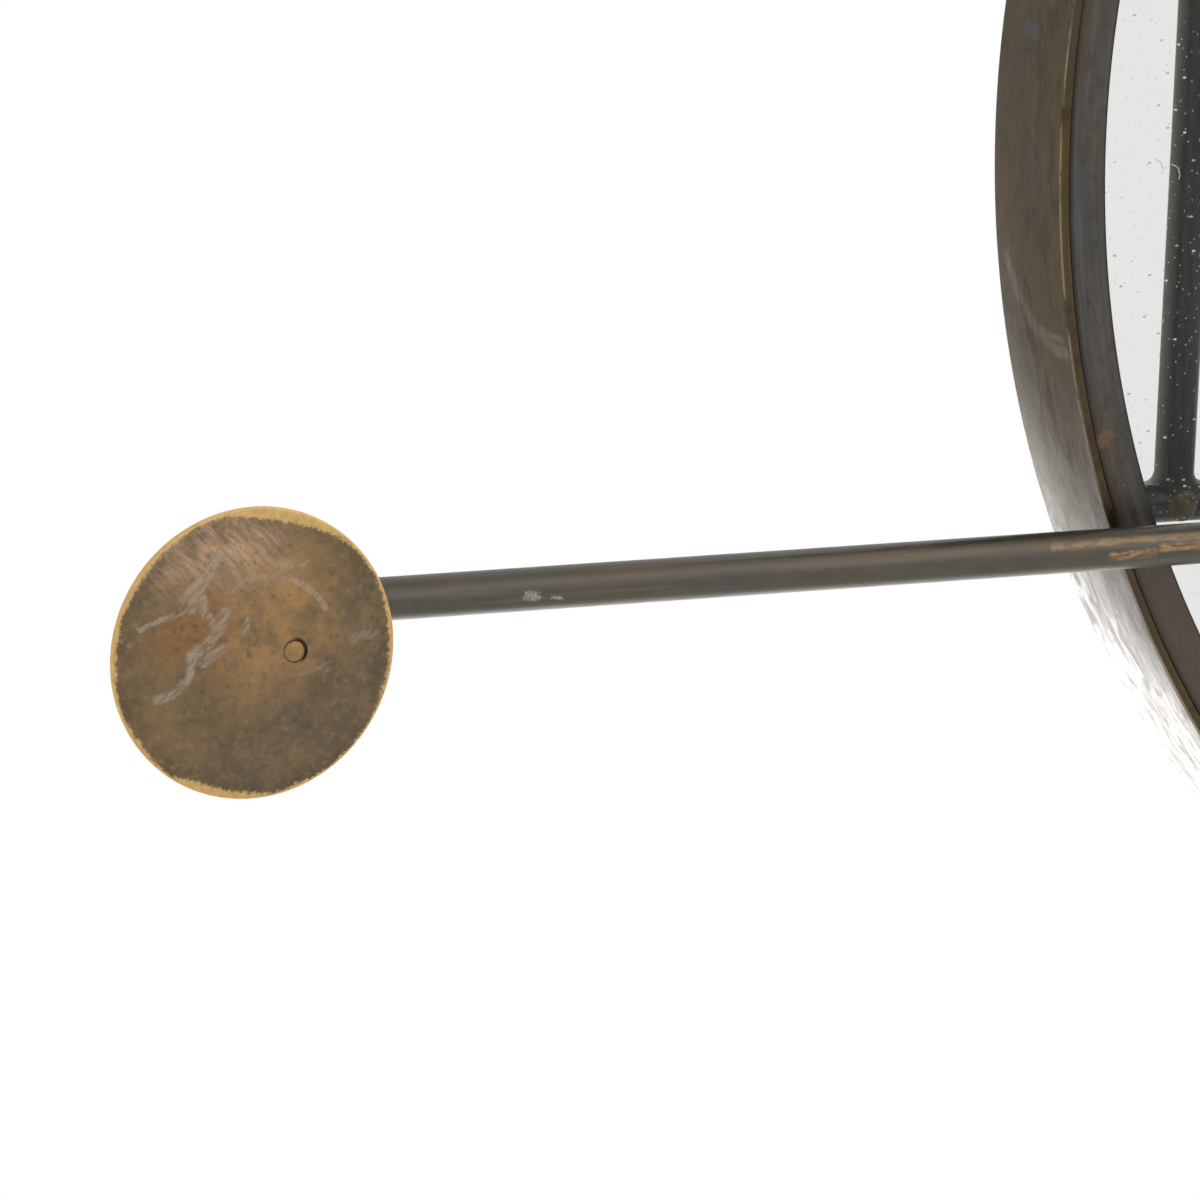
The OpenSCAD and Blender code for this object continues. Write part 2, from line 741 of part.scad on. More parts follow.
// A flat disc with eased edges, bored and sunk for its rivet
module pendulum_disc() {
  e = 0.4;
  color(aged_brass) at_centre() at_xz([disc_x, disc_z]) difference() {
    turned([[0, disc_back], [disc_r - e, disc_back], [disc_r, disc_back - e],
      [disc_r, disc_front + e], [disc_r - e, disc_front], [0, disc_front]]);
    at_xz([0, rivet_rise]) {
      rod_y_dir(rivet_r, disc_front - 1, disc_back + 1);
      rod_y_dir(rivet_head_r + rivet_seat_gap, disc_front - 1, disc_front + rivet_seat);
    }
  }
}
module disc_left() {
  mirror([1, 0, 0]) pendulum_disc();
}
module disc_right() {
  pendulum_disc();
}
module disc_tabs() {
  color(bronze) at_centre() both_sides() difference() {
    plate(disc_back, lap_y) capsule([rod_x, rivet_z + 2], [disc_x, rivet_z], rod_r + 0.5);
    at_xz([disc_x, rivet_z]) rod_y_dir(rivet_r, disc_back - 1, lap_y + 1);
  }
}
module disc_rivets() {
  seat = disc_front + rivet_seat;
  r = rivet_head_r;
  color(aged_brass) at_centre() both_sides() at_xz([disc_x, rivet_z])
    turned([[0, disc_front - 0.9], [r * 0.5, disc_front - 0.75], [r * 0.85, disc_front - 0.3],
      [r, seat - 0.2], [r, seat], [rivet_r, seat], [rivet_r, lap_y], [r, lap_y],
      [r * 0.8, lap_y + 0.8], [0, lap_y + 0.9]]);
}
module crossbar_rivets() {
  base = rod_y + rod_r;
  r = bar_rivet_head_r;
  color(aged_brass) at_centre() both_sides() for (z = [pivot_z, lower_bar_z]) at_xz([rod_x, z])
    turned([[0, rod_y - 1], [bar_rivet_r, rod_y - 1], [bar_rivet_r, base], [r, base],
      [r * 0.85, base + 0.7], [r * 0.5, base + 1.2], [0, base + 1.4]]);
}
module magnet_tail() {
  cup_z = pivot_z + tail_l;
  color(bronze) at_centre() difference() {
    union() {
      translate([0, rod_y, pivot_z + hub_r * 0.8]) cylinder(h = tail_l - hub_r * 0.8, r = tail_r);
      at_xz([0, cup_z]) rod_y_dir(cup_r, cup_front, cup_back);
    }
    at_xz([0, cup_z]) rod_y_dir(magnet_r, cup_front + 2, cup_back + 1);
    at_xz([0, pivot_z]) rod_y_dir(hub_r, hub_front - 1, hub_back + 1);
  }
}
module drive_magnet() {
  color("#8a8d90") at_centre() at_xz([0, pivot_z + tail_l])
    rod_y_dir(magnet_r, cup_front + 2, magnet_back);
}

hoop_band();
bezel_ring();
mirror_dial();
backing_plate();
retaining_tabs();
hanger_bar();
hour_markers();
movement_case();
movement_cover();
battery();
contact_positive();
contact_negative();
circuit_board();
control_chip();
quartz_crystal();
coil_bobbin();
motor_coil();
motor_stator();
mounting_bushing();
bushing_washer();
bushing_nut();
dial_gasket();
suspension_post();
post_nut();
pivot_cap();
drive_case();
drive_cover();
drive_coil();
drive_battery();
drive_screws();
minute_arbor();
minute_hand();
hand_nut();
centre_wheel();
cannon_pinion();
set_knob();
hour_pipe();
hour_hand();
hour_wheel();
motion_wheel();
motion_pinion();
third_arbor();
third_wheel();
third_pinion();
rotor_magnet();
rotor_pinion();
rod_left();
rod_right();
crossbar_upper();
crossbar_lower();
pendulum_hub();
hub_bushing();
disc_left();
disc_right();
disc_tabs();
disc_rivets();
crossbar_rivets();
magnet_tail();
drive_magnet();
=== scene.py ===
"""Looks of the pendulum wall clock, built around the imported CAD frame. Metres, +Z up, front -Y."""
import json
import math

import bmesh
import bpy
from mathutils import Matrix, Vector, noise


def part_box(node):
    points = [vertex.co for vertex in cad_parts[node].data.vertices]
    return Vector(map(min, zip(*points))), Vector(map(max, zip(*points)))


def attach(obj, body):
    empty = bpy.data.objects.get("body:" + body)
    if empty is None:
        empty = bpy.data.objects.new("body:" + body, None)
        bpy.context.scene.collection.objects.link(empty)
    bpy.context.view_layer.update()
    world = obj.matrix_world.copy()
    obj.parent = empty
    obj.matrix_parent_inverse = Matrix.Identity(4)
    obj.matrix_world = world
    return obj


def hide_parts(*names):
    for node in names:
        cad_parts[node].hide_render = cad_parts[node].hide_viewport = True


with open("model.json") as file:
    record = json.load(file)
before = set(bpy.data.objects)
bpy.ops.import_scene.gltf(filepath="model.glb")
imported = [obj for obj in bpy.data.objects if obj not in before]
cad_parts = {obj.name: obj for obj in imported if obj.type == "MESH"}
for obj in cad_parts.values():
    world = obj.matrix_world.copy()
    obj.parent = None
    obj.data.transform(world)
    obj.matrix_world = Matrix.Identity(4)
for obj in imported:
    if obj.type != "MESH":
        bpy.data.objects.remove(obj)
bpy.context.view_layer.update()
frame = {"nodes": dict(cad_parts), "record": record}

MM = 0.001
TAU = 2 * math.pi
BODY_OF = {n: body for body, nodes in frame["record"]["behaviour"]["bodies"].items() for n in nodes}

# ---------------------------------------------------------------- places, from the CAD


def middle(node):
    low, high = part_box(node)
    return (low + high) / 2


hoop_low, hoop_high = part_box("hoop_band")
glass_low, glass_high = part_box("mirror_dial")
ring_low, ring_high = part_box("bezel_ring")
rod_low, rod_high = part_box("rod_right")
disc_low, disc_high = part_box("disc_right")
hub_low, hub_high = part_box("pendulum_hub")

CENTRE = middle("hoop_band")
CENTRE.y = 0
HOOP_R = (hoop_high.x - hoop_low.x) / 2
RING_R = (ring_high.x - ring_low.x) / 2
GLASS_R = (glass_high.x - glass_low.x) / 2
LIP_Y = hoop_low.y
RING_Y = ring_low.y
GLASS_Y = glass_low.y
ROD = middle("rod_right")
ROD_R = (rod_high.x - rod_low.x) / 2
DISC = middle("disc_right")
DISC_R = (disc_high.x - disc_low.x) / 2
PIVOT = middle("pendulum_hub")
HUB_R = (hub_high.x - hub_low.x) / 2
RIVET_AT = Vector((DISC.x, 0, middle("disc_rivets").z))

# ---------------------------------------------------------------- sizes the boxes don't give
RING_W = 9.5 * MM  # the flat ring's face
SILVER_T = 0.1 * MM  # the silvering at the back of the glass
SILVER_GAP = 0.01 * MM  # between the glass and its silvering
SEAT_DEPTH = 0.3 * MM  # the sunk seat of a disc's rivet
SEAT_LEAN = Vector((-0.35, 0, 0.94)) * 0.25 * MM  # how far that seat is off the rivet
ARBOR_HOLE_R = 4.2 * MM  # through the glass and the board, for the bushing
POST_HOLE_R = 5.2 * MM  # the same, for the suspension post
COIL_HOLE_R = 12.5 * MM
SCREW_HOLE_R = 1.2 * MM
SCREW_HEAD_R = 2.8 * MM


# ---------------------------------------------------------------- mesh helpers
def eased(points, radius, steps=4):
    """A closed outline of (a, b) points with its corners rounded, apart from those on the axis."""
    out = []
    for i, point in enumerate(points):
        here = Vector(point)
        back = Vector(points[i - 1]) - here
        ahead = Vector(points[(i + 1) % len(points)]) - here
        if here.x < 1e-7:
            out.append(here)
            continue
        run = min(radius, 0.45 * back.length, 0.45 * ahead.length)
        start = here + back.normalized() * run
        end = here + ahead.normalized() * run
        for k in range(steps + 1):
            t = k / steps
            out.append(start * (1 - t) ** 2 + here * (2 * t * (1 - t)) + end * t ** 2)
    return out


def lathe(profile, centre=(0, 0, 0), axis="Y", turns=192, arc=(0, TAU)):
    """A profile of (radius, along) points turned about an axis through centre."""
    bm = bmesh.new()
    start, sweep = arc
    whole = abs(sweep - TAU) < 1e-6
    count = turns if whole else turns + 1

    def spot(radius, along, i):
        a = start + sweep * i / turns
        u, v = radius * math.sin(a), radius * math.cos(a)
        turned = {"X": (along, u, v), "Y": (u, along, v), "Z": (u, v, along)}[axis]
        return bm.verts.new(Vector(centre) + Vector(turned))

    rings = []
    for radius, along in profile:
        if radius < 1e-7:
            rings.append([spot(0, along, 0)] * count)
        else:
            rings.append([spot(radius, along, i) for i in range(count)])
    for a, b in zip(rings, rings[1:] + rings[:1]):
        for i in range(turns):
            j = (i + 1) % count
            corners = list(dict.fromkeys([a[i], a[j], b[j], b[i]]))
            if len(corners) > 2:
                bm.faces.new(corners)
    if not whole:
        for end in (0, -1):
            bm.faces.new([ring[end] for ring in rings])
    return bm


def refined(node, width, segments=2, angle=35):
    """A CAD node's shape with its sharp outer edges eased."""
    bm = bmesh.new()
    bm.from_mesh(frame["nodes"][node].data)
    bmesh.ops.remove_doubles(bm, verts=bm.verts, dist=1e-6)
    bmesh.ops.dissolve_limit(bm, angle_limit=math.radians(0.5), verts=bm.verts, edges=bm.edges)
    sharp = [e for e in bm.edges if len(e.link_faces) == 2 and e.is_convex
             and e.calc_face_angle() > math.radians(angle)]
    bmesh.ops.bevel(bm, geom=sharp, offset=width, segments=segments, profile=0.5,
                    affect="EDGES", clamp_overlap=True)
    return bm


def round_angles(count):
    return [k * TAU / count for k in range(count)]


def box_mesh(low, high):
    bm = bmesh.new()
    bmesh.ops.create_cube(bm, size=1)
    size = Vector(high) - Vector(low)
    for v in bm.verts:
        v.co = Vector(low) + Vector([(v.co[k] + 0.5) * size[k] for k in range(3)])
    return bm


def to_mesh(bm, name, angle=35):
    bmesh.ops.remove_doubles(bm, verts=bm.verts, dist=1e-7)
    bmesh.ops.recalc_face_normals(bm, faces=bm.faces)
    mesh = bpy.data.meshes.new(name)
    bm.to_mesh(mesh)
    bm.free()
    mesh.shade_smooth()
    mesh.set_sharp_from_angle(angle=math.radians(angle))
    return mesh


def carved(bm, *cutters):
    """The mesh less its cutters, by an exact boolean."""
    parts = []
    for shape in (bm,) + cutters:
        bmesh.ops.recalc_face_normals(shape, faces=shape.faces)
        mesh = bpy.data.meshes.new("part")
        shape.to_mesh(mesh)
        shape.free()
        parts.append(bpy.data.objects.new("part", mesh))
        bpy.context.scene.collection.objects.link(parts[-1])
    for cutter in parts[1:]:
        step = parts[0].modifiers.new("cut", "BOOLEAN")
        step.object = cutter
        step.solver = "EXACT"
    view = bpy.context.evaluated_depsgraph_get()
    result = bpy.data.meshes.new_from_object(parts[0].evaluated_get(view))
    for part in parts:
        bpy.data.objects.remove(part)
    out = bmesh.new()
    out.from_mesh(result)
    return out


def mirrored(bm):
    """The mesh and its mirror image in X, as one."""
    copy = bmesh.ops.duplicate(bm, geom=bm.verts[:] + bm.edges[:] + bm.faces[:])["geom"]
    for v in copy:
        if isinstance(v, bmesh.types.BMVert):
            v.co.x = -v.co.x
    bmesh.ops.reverse_faces(bm, faces=[f for f in copy if isinstance(f, bmesh.types.BMFace)])
    return bm


def joined(*shapes):
    out = bmesh.new()
    for shape in shapes:
        mesh = bpy.data.meshes.new("part")
        shape.to_mesh(mesh)
        shape.free()
        out.from_mesh(mesh)
    return out


def place(bm, look, *nodes, angle=35, name=None, body=None, slot=None):
    """A piece made of the mesh, which stands for the nodes and rides on their body."""
    name = name or nodes[0] + "_skin"
    piece = bpy.data.objects.new(name, to_mesh(bm, name, angle))
    bpy.context.scene.collection.objects.link(piece)
    piece.data.materials.append(look)
    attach(piece, body or BODY_OF[nodes[0]])
    if nodes:
        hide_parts(*nodes)
    return piece


def soften(look, width, *nodes, segments=2):
    """CAD nodes whose shape is right, with their outer edges eased by width mm."""
    for node in nodes:
        place(refined(node, width * MM, segments), look, node)


def paint(look, *nodes):
    """CAD nodes whose shape is right keep it, and take the look."""
    for node in nodes:
        data = frame["nodes"][node].data
        data.materials.clear()
        data.materials.append(look)
        data.shade_smooth()
        data.set_sharp_from_angle(angle=math.radians(30))


# ---------------------------------------------------------------- nodes
class Nodes:
    """Short calls that add shader nodes to a tree."""

    def __init__(self, tree):
        self.tree = tree

    def feed(self, socket, value):
        if isinstance(value, bpy.types.NodeSocket):
            self.tree.links.new(value, socket)
        else:
            socket.default_value = value

    def add(self, kind, *inputs, **settings):
        node = self.tree.nodes.new("ShaderNode" + kind)
        for key, value in settings.items():
            setattr(node, key, value)
        for socket, value in zip(node.inputs, inputs):
            self.feed(socket, value)
        return node

    def calc(self, operation, a, b=0.0, clamp=False):
        return self.add("Math", a, b, operation=operation, use_clamp=clamp).outputs[0]

    def fold(self, operation, values):
        out = values[0]
        for value in values[1:]:
            out = self.calc(operation, out, value)
        return out

    def times(self, *values):
        return self.fold("MULTIPLY", values)

    def plus(self, *values):
        return self.fold("ADD", values)

    def most(self, *values):
        return self.fold("MAXIMUM", values)

    def minus(self, a, b):
        return self.calc("SUBTRACT", a, b)

    def vector(self, operation, a, b=None, scale=None):
        node = self.add("VectorMath", a, operation=operation)
        if b is not None:
            self.feed(node.inputs[1], b)
        if scale is not None:
            self.feed(node.inputs["Scale"], scale)
        return node.outputs["Value" if operation in ("LENGTH", "DISTANCE", "DOT_PRODUCT") else "Vector"]

    def point(self, x, y, z):
        return self.add("CombineXYZ", x, y, z).outputs[0]

    def step(self, value, low, high, to_low=0.0, to_high=1.0):
        """to_low below low, to_high above high, and smooth between them. low may be over high."""
        if low > high:
            low, high, to_low, to_high = high, low, to_high, to_low
        return self.add("MapRange", value, low, high, to_low, to_high,
                        interpolation_type="SMOOTHSTEP").outputs[0]


# ---------------------------------------------------------------- materials
class Look(Nodes):
    """A material. Its places and sizes are in millimetres from the hoop's centre."""

    def __init__(self, name, metallic=0.0, rough=0.5, specular=0.5):
        self.material = bpy.data.materials.new(name)
        self.material.use_nodes = True
        super().__init__(self.material.node_tree)
        self.shader = self.tree.nodes["Principled BSDF"]
        self.set("Metallic", metallic)
        self.set("Roughness", rough)
        self.set("Specular IOR Level", specular)
        self.tone = None
        spot = self.vector("SUBTRACT", self.add("TexCoord").outputs["Object"], CENTRE)
        self.spot = self.vector("SCALE", spot, scale=1000.0)
        self.x, self.y, self.z = self.add("SeparateXYZ", self.spot).outputs

    def set(self, name, value):
        self.feed(self.shader.inputs[name], value)

    def around(self):
        """(distance along the hoop from its lowest point, depth, radius), all in mm."""
        turn = self.calc("ARCTAN2", self.x, self.times(self.z, -1.0))
        radius = self.calc("SQRT", self.plus(self.times(self.x, self.x), self.times(self.z, self.z)))
        along = self.times(turn, HOOP_R / MM)
        return self.point(along, self.y, radius), along, radius

    def mapped(self, size, place, stretch, shift=(0, 0, 0)):
        """The place scaled so that size mm is one unit, or more than size mm where stretch is over 1."""
        mapping = self.add("Mapping", place or self.spot)
        mapping.inputs["Location"].default_value = shift
        mapping.inputs["Scale"].default_value = [1 / (size * s) for s in stretch]
        return mapping.outputs[0]

    def noise(self, size, detail=3.0, rough=0.55, place=None, stretch=(1, 1, 1), shift=(0, 0, 0),
              warp=0.0):
        """Noise from 0 to 1 whose features are about size mm across, longer where stretch is over 1."""
        node = self.add("TexNoise", self.mapped(size, place, stretch, shift))
        node.inputs["Scale"].default_value = 1.0
        node.inputs["Detail"].default_value = detail
        node.inputs["Roughness"].default_value = rough
        node.inputs["Distortion"].default_value = warp
        return node.outputs[0]

    def cells(self, size, place=None, stretch=(1, 1, 1), dimensions="3D"):
        """(a random value for each cell, the distance from its point) of cells of size mm."""
        node = self.add("TexVoronoi", self.mapped(size, place, stretch), voronoi_dimensions=dimensions)
        node.inputs["Scale"].default_value = 1.0
        return self.add("SeparateColor", node.outputs["Color"]).outputs[0], node.outputs["Distance"]

    def specks(self, size, dot, share, place=None, stretch=(1, 1, 1), dimensions="3D"):
        """Mask of dots of radius dot mm in cells of size mm, in that share of the cells."""
        picked, distance = self.cells(size, place, stretch, dimensions)
        near = self.step(distance, dot / size, 0.5 * dot / size)
        return self.times(near, self.calc("LESS_THAN", picked, share))

    def near_path(self, points, place, width):
        """Mask of a stroke through points (a, b) mm of the place's x and z, fading over its width."""
        best = None
        for (ax, az), (bx, bz) in zip(points, points[1:]):
            run = Vector((bx - ax, 0, bz - az))
            start = self.vector("SUBTRACT", place, (ax, 0, az))
            share = self.vector("DOT_PRODUCT", start, tuple(run / run.length_squared))
            share = self.calc("MINIMUM", self.calc("MAXIMUM", share, 0.0), 1.0)
            foot = self.vector("SCALE", tuple(run), scale=share)
            gap = self.vector("DISTANCE", start, foot)
            best = gap if best is None else self.calc("MINIMUM", best, gap)
        return self.step(best, width, width * 0.3)

    def mix(self, factor, a, b):
        node = self.add("Mix", data_type="RGBA")
        self.feed(node.inputs[0], factor)
        for socket, colour in ((node.inputs[6], a), (node.inputs[7], b)):
            self.feed(socket, colour if isinstance(colour, bpy.types.NodeSocket) else (*colour, 1))
        return node.outputs[2]

    def base(self, factor, a, b):
        """The material's colour: from a to b as the factor rises."""
        self.tone = self.mix(factor, a, b)
        self.set("Base Color", self.tone)

    def lay(self, mask, colour, amount=None):
        """Cover the colour so far with another, by the mask and the amount."""
        if amount is not None:
            mask = self.times(mask, amount)
        self.base(mask, self.tone, colour)

    def bump(self, height, distance):
        """distance is the height, in mm, of a step from 0 to 1."""
        node = self.add("Bump")
        node.inputs["Strength"].default_value = 1.0
        node.inputs["Distance"].default_value = distance * MM
        self.feed(node.inputs["Height"], height)
        self.set("Normal", node.outputs[0])


def hoop_look():
    """Dark bronze patina: brown to grey clouds and fine lines along the band, worn bright at the lip."""
    look = Look("hoop_bronze", metallic=0.92, rough=0.34)
    place, along, radius = look.around()
    cloud = look.noise(38, 4, place=place, stretch=(1.6, 0.6, 1), warp=0.4)
    streak = look.noise(2.2, 4, place=place, stretch=(22, 1, 1))
    fine = look.noise(0.5, 3, place=place, stretch=(30, 1, 1))
    mottle = look.noise(7, 6, 0.65, place=place, stretch=(1.5, 0.8, 1), shift=(9, 4, 2), warp=0.6)
    look.base(look.step(cloud, 0.35, 0.66), (0.092, 0.060, 0.023), (0.071, 0.055, 0.034))
    look.lay(look.step(streak, 0.42, 0.72, 0.0, 0.45), (0.122, 0.088, 0.048))
    look.lay(look.step(mottle, 0.34, 0.52, 0.65, 0.0), (0.040, 0.031, 0.022))
    outside = look.step(radius, HOOP_R / MM - 0.7, HOOP_R / MM - 0.2)
    rubbed = look.times(look.step(along, 45, 130), outside)
    pale = look.noise(13, 5, 0.6, place=place, stretch=(2.2, 0.7, 1), shift=(3, 7, 1), warp=0.8)
    look.lay(look.times(rubbed, look.step(pale, 0.28, 0.60, 0.35, 0.95)), (0.37, 0.355, 0.335))
    smear = look.noise(3.0, 6, 0.72, place=place, stretch=(2.6, 1, 1), shift=(1, 5, 2), warp=0.4)
    look.lay(look.times(rubbed, look.step(smear, 0.50, 0.68, 0.0, 0.6)), (0.155, 0.145, 0.135))
    arc_place = look.point(along, 0.0, look.y)
    waver = look.times(look.noise(6, 2, place=place), 0.8)
    arc_place = look.vector("ADD", arc_place, look.point(waver, 0.0, waver))
    arcs = look.most(
        look.near_path([(33, -4), (42, -9), (49, -16), (52, -24), (52, -29)], arc_place, 2.4),
        look.near_path([(38, -7), (46, -13), (49, -21), (49, -28)], arc_place, 1.2),
        look.near_path([(92, -22), (98, -18), (101, -12)], arc_place, 0.5),
        look.near_path([(74, -12), (84, -16), (90, -14)], arc_place, 0.4))
    look.lay(look.times(arcs, look.step(streak, 0.3, 0.7, 0.12, 0.5)), (0.25, 0.22, 0.18))
    blue = look.near_path([(-21, -12), (-20, -16)], arc_place, 2.6)
    look.lay(blue, (0.075, 0.09, 0.10), 0.6)
    flecks = look.specks(9, 0.35, 0.35, place=place, stretch=(1.6, 1, 1))
    look.lay(flecks, (0.40, 0.36, 0.30), 0.5)
    corner = look.times(look.step(look.y, LIP_Y / MM + 0.55, LIP_Y / MM + 0.30),
                        look.step(radius, HOOP_R / MM - 0.45, HOOP_R / MM - 0.25))
    chips = look.noise(1.4, 4, 0.7, place=place, stretch=(5, 1, 1))
    worn = look.times(corner, look.step(chips, 0.36, 0.55))
    look.lay(worn, (0.36, 0.30, 0.22), 0.55)
    streaky = look.step(look.noise(3.4, 5, 0.65, place=place, stretch=(3.5, 1, 1), warp=1.2), 0.35, 0.72)
    look.set("Roughness", look.plus(0.22, look.times(streaky, 0.26)))
    relief = look.plus(look.times(fine, 0.7), look.times(smear, 0.15))
    look.bump(relief, 0.012)
    return look.material


def ring_look():
    """Dark grey steel with brown zones, painted shade along both edges of the face and one patch of rust.
    """
    look = Look("ring_steel", metallic=0.85, rough=0.42)
    place, along, radius = look.around()
    zone = look.noise(26, 4, place=place, stretch=(3, 1, 0.5), warp=0.5)
    streak = look.noise(1.5, 4, place=place, stretch=(26, 1, 1))
    look.base(look.step(zone, 0.46, 0.62), (0.078, 0.075, 0.071), (0.094, 0.078, 0.062))
    look.lay(look.step(streak, 0.42, 0.70, 0.0, 0.5), (0.135, 0.132, 0.138))
    blot = look.noise(1.8, 7, 0.78, place=place, stretch=(2.2, 1, 1))
    look.lay(look.step(blot, 0.50, 0.34, 0.0, 0.5), (0.040, 0.035, 0.031))
    look.lay(look.step(blot, 0.54, 0.70, 0.0, 0.35), (0.150, 0.140, 0.135))
    look.lay(look.step(along, 84, 112, 0.0, 0.7), (0.100, 0.080, 0.062))
    # painted shade: darker bands at the outer and inner edges of the ring face, where it meets the band
    # and the glass
    border_shade = look.most(look.step(radius, RING_R / MM - 1.7, RING_R / MM - 0.5),
                       look.step(radius, (RING_R - RING_W) / MM + 0.9, (RING_R - RING_W) / MM + 0.2))
    look.lay(border_shade, (0.028, 0.022, 0.017), 0.72)
    inner = look.step(radius, RING_R / MM - 3.0, RING_R / MM - 2.0)
    look.lay(look.times(inner, look.step(zone, 0.35, 0.7, 0.1, 0.6)), (0.085, 0.062, 0.040))
    flat = look.point(along, 0.0, radius)
    ragged = look.noise(1.3, 4, 0.7, place=place)
    offset = look.times(look.minus(ragged, 0.5), 5.0)
    flat = look.vector("ADD", flat, look.point(offset, 0.0, offset))
    rust = look.near_path([(73.2, 248.0), (74.0, 249.8)], flat, 2.5)
    look.lay(look.times(rust, look.step(ragged, 0.30, 0.60, 0.35, 0.85)), (0.180, 0.106, 0.066))
    flecks = look.specks(7, 0.28, 0.4, place=place)
    look.lay(flecks, (0.35, 0.33, 0.32), 0.45)
    look.set("Roughness", look.step(streak, 0.2, 0.8, 0.36, 0.52))
    look.bump(look.plus(look.times(streak, 0.4), look.times(rust, 0.8)), 0.04)
    return look.material


def pane_look():
    """Clear glass with fine dust and a hair on its front, which the silvering behind shows twice."""
    look = Look("mirror_glass", rough=0.03, specular=0.5)
    flat = look.point(look.x, look.z, 0.0)
    specks = look.most(look.specks(7.0, 0.34, 0.55, flat, (1, 1.8, 1), "2D"),
                       look.times(look.specks(2.6, 0.20, 0.40, flat, (1.3, 1, 1), "2D"), 0.7))
    hair = look.near_path([(9.0, -222.5), (9.6, -221.0), (11.2, -220.2), (12.4, -220.4)],
                          look.point(look.x, 0.0, look.z), 0.14)
    front = look.step(look.y, GLASS_Y / MM + 0.3, GLASS_Y / MM + 0.1)
    dust = look.times(look.most(hair, specks), front)
    look.base(dust, (0.90, 0.93, 0.91), (0.74, 0.74, 0.72))
    look.set("Alpha", look.plus(0.012, look.times(dust, 0.8)))
    look.set("Roughness", look.plus(0.03, look.times(dust, 0.6)))
    return look.material


def silver_look():
    """Mirror silvering with a faint uneven film."""
    look = Look("mirror_silver", metallic=1.0, rough=0.012)
    film = look.noise(60, 3, warp=0.5)
    freckle = look.noise(1.1, 5, 0.7)
    look.base(look.step(film, 0.3, 0.7), (0.905, 0.910, 0.905), (0.925, 0.928, 0.922))
    look.lay(look.step(freckle, 0.70, 0.80, 0.0, 0.2), (0.80, 0.80, 0.79))
    look.set("Roughness", look.step(film, 0.2, 0.8, 0.010, 0.018))
    return look.material


def rod_look():
    """Oil-rubbed bronze, drawn along the rods, with gold showing where the patina is rubbed off, and
    painted shade behind.
    """
    look = Look("rod_bronze", metallic=0.9, rough=0.36)
    side = look.calc("ABSOLUTE", look.x)
    drawn = look.noise(1.2, 4, stretch=(1, 1, 34))
    cloud = look.noise(16, 4, stretch=(1, 1, 2.4), warp=0.5)
    mottle = look.noise(2.6, 5, 0.65, stretch=(1, 1, 2.2), shift=(5, 2, 8))
    look.base(look.step(cloud, 0.36, 0.64), (0.106, 0.093, 0.074), (0.094, 0.089, 0.078))
    look.lay(look.step(mottle, 0.45, 0.72, 0.0, 0.4), (0.146, 0.124, 0.096))
    look.lay(look.step(drawn, 0.50, 0.75, 0.0, 0.55), (0.162, 0.138, 0.107))
    turn = look.calc("ARCTAN2", look.minus(side, ROD.x / MM), look.minus(ROD.y / MM, look.y))
    girth = look.times(turn, ROD_R / MM)
    flat = look.point(girth, 0.0, look.z)
    ragged = look.noise(3.0, 5, 0.7, stretch=(1, 1, 2.5), warp=0.8)
    flat = look.vector("ADD", flat, look.point(look.times(ragged, 2.0), 0.0, look.times(ragged, 5.0)))
    above = look.step(look.z, -455, -300)
    line = look.near_path([(-2.2, -430), (-2.6, 150)], flat, 1.5)
    look.lay(look.times(line, look.times(above, 0.5)), (0.180, 0.136, 0.092))
    lump = look.noise(1.1, 5, 0.75, shift=(3, 3, 3), stretch=(1, 1, 4.0))
    pale = look.near_path([(-1.6, -258), (-2.0, -235), (-1.9, -205)], flat, 1.4)
    pale = look.times(pale, look.step(lump, 0.38, 0.62, 0.1, 0.8))
    look.lay(pale, (0.30, 0.205, 0.125))
    gold = look.most(look.near_path([(1.5, -242), (1.4, -232)], flat, 1.6),
                     look.near_path([(0.4, -230), (0.2, -205)], flat, 1.3))
    gold = look.times(gold, look.step(lump, 0.40, 0.60, 0.1, 0.95))
    look.lay(gold, (0.41, 0.245, 0.115))
    spot = look.most(look.near_path([(1.2, -387.0), (1.7, -384.6)], flat, 1.6),
                     look.near_path([(2.2, -380.6), (2.3, -379.0)], flat, 0.7))
    # painted shade: everything behind the rods' axis, on the side that faces the mirror, is darkened
    back_shade = look.step(look.y, ROD.y / MM - 1.0, ROD.y / MM + 3.0)
    look.lay(back_shade, (0.026, 0.029, 0.026), 0.85)
    pitted = look.noise(0.7, 5, 0.75)
    look.lay(look.times(spot, look.step(pitted, 0.36, 0.6, 0.15, 0.75)), (0.42, 0.41, 0.345))
    look.set("Roughness", look.step(mottle, 0.2, 0.8, 0.30, 0.46))
    look.bump(look.plus(look.times(drawn, 0.5), look.times(mottle, 0.5)), 0.05)
    return look.material


# Rubs and scratches on a disc's face: the width of each and its path, in mm from the disc's centre.
DISC_SCRATCHES = (
    (1.7, ((-21.5, -8.7), (-18.4, -10.5), (-14.3, -13.0), (-10.8, -14.1))),
    (1.2, ((-12.8, -16.3), (-17.1, -12.3))),
    (1.5, ((-14.3, -12.3), (-10.0, -11.4), (-6.6, -8.9))),
    (0.8, ((-7.0, -25.8), (-8.8, -21.0), (-9.9, -16.3), (-12.2, -13.0))),
    (1.5, ((8.6, -21.6), (6.8, -17.2), (3.8, -14.3), (-0.5, -14.0))),
    (1.9, ((-0.5, -14.0), (-3.1, -10.3), (-7.2, -7.4), (-9.6, -6.7))),
    (1.5, ((1.1, -11.7), (-0.4, -9.2), (-1.7, -7.3))),
    (1.1, ((-5.0, -2.2), (-7.5, -1.5))),
    (1.3, ((-18.7, 6.1), (-19.0, 7.6))),
    (0.6, ((-18.6, 9.9), (-19.3, 11.7))),
    (1.0, ((-15.5, 8.4), (-13.8, 11.8), (-11.5, 14.1), (-9.2, 15.6))),
)
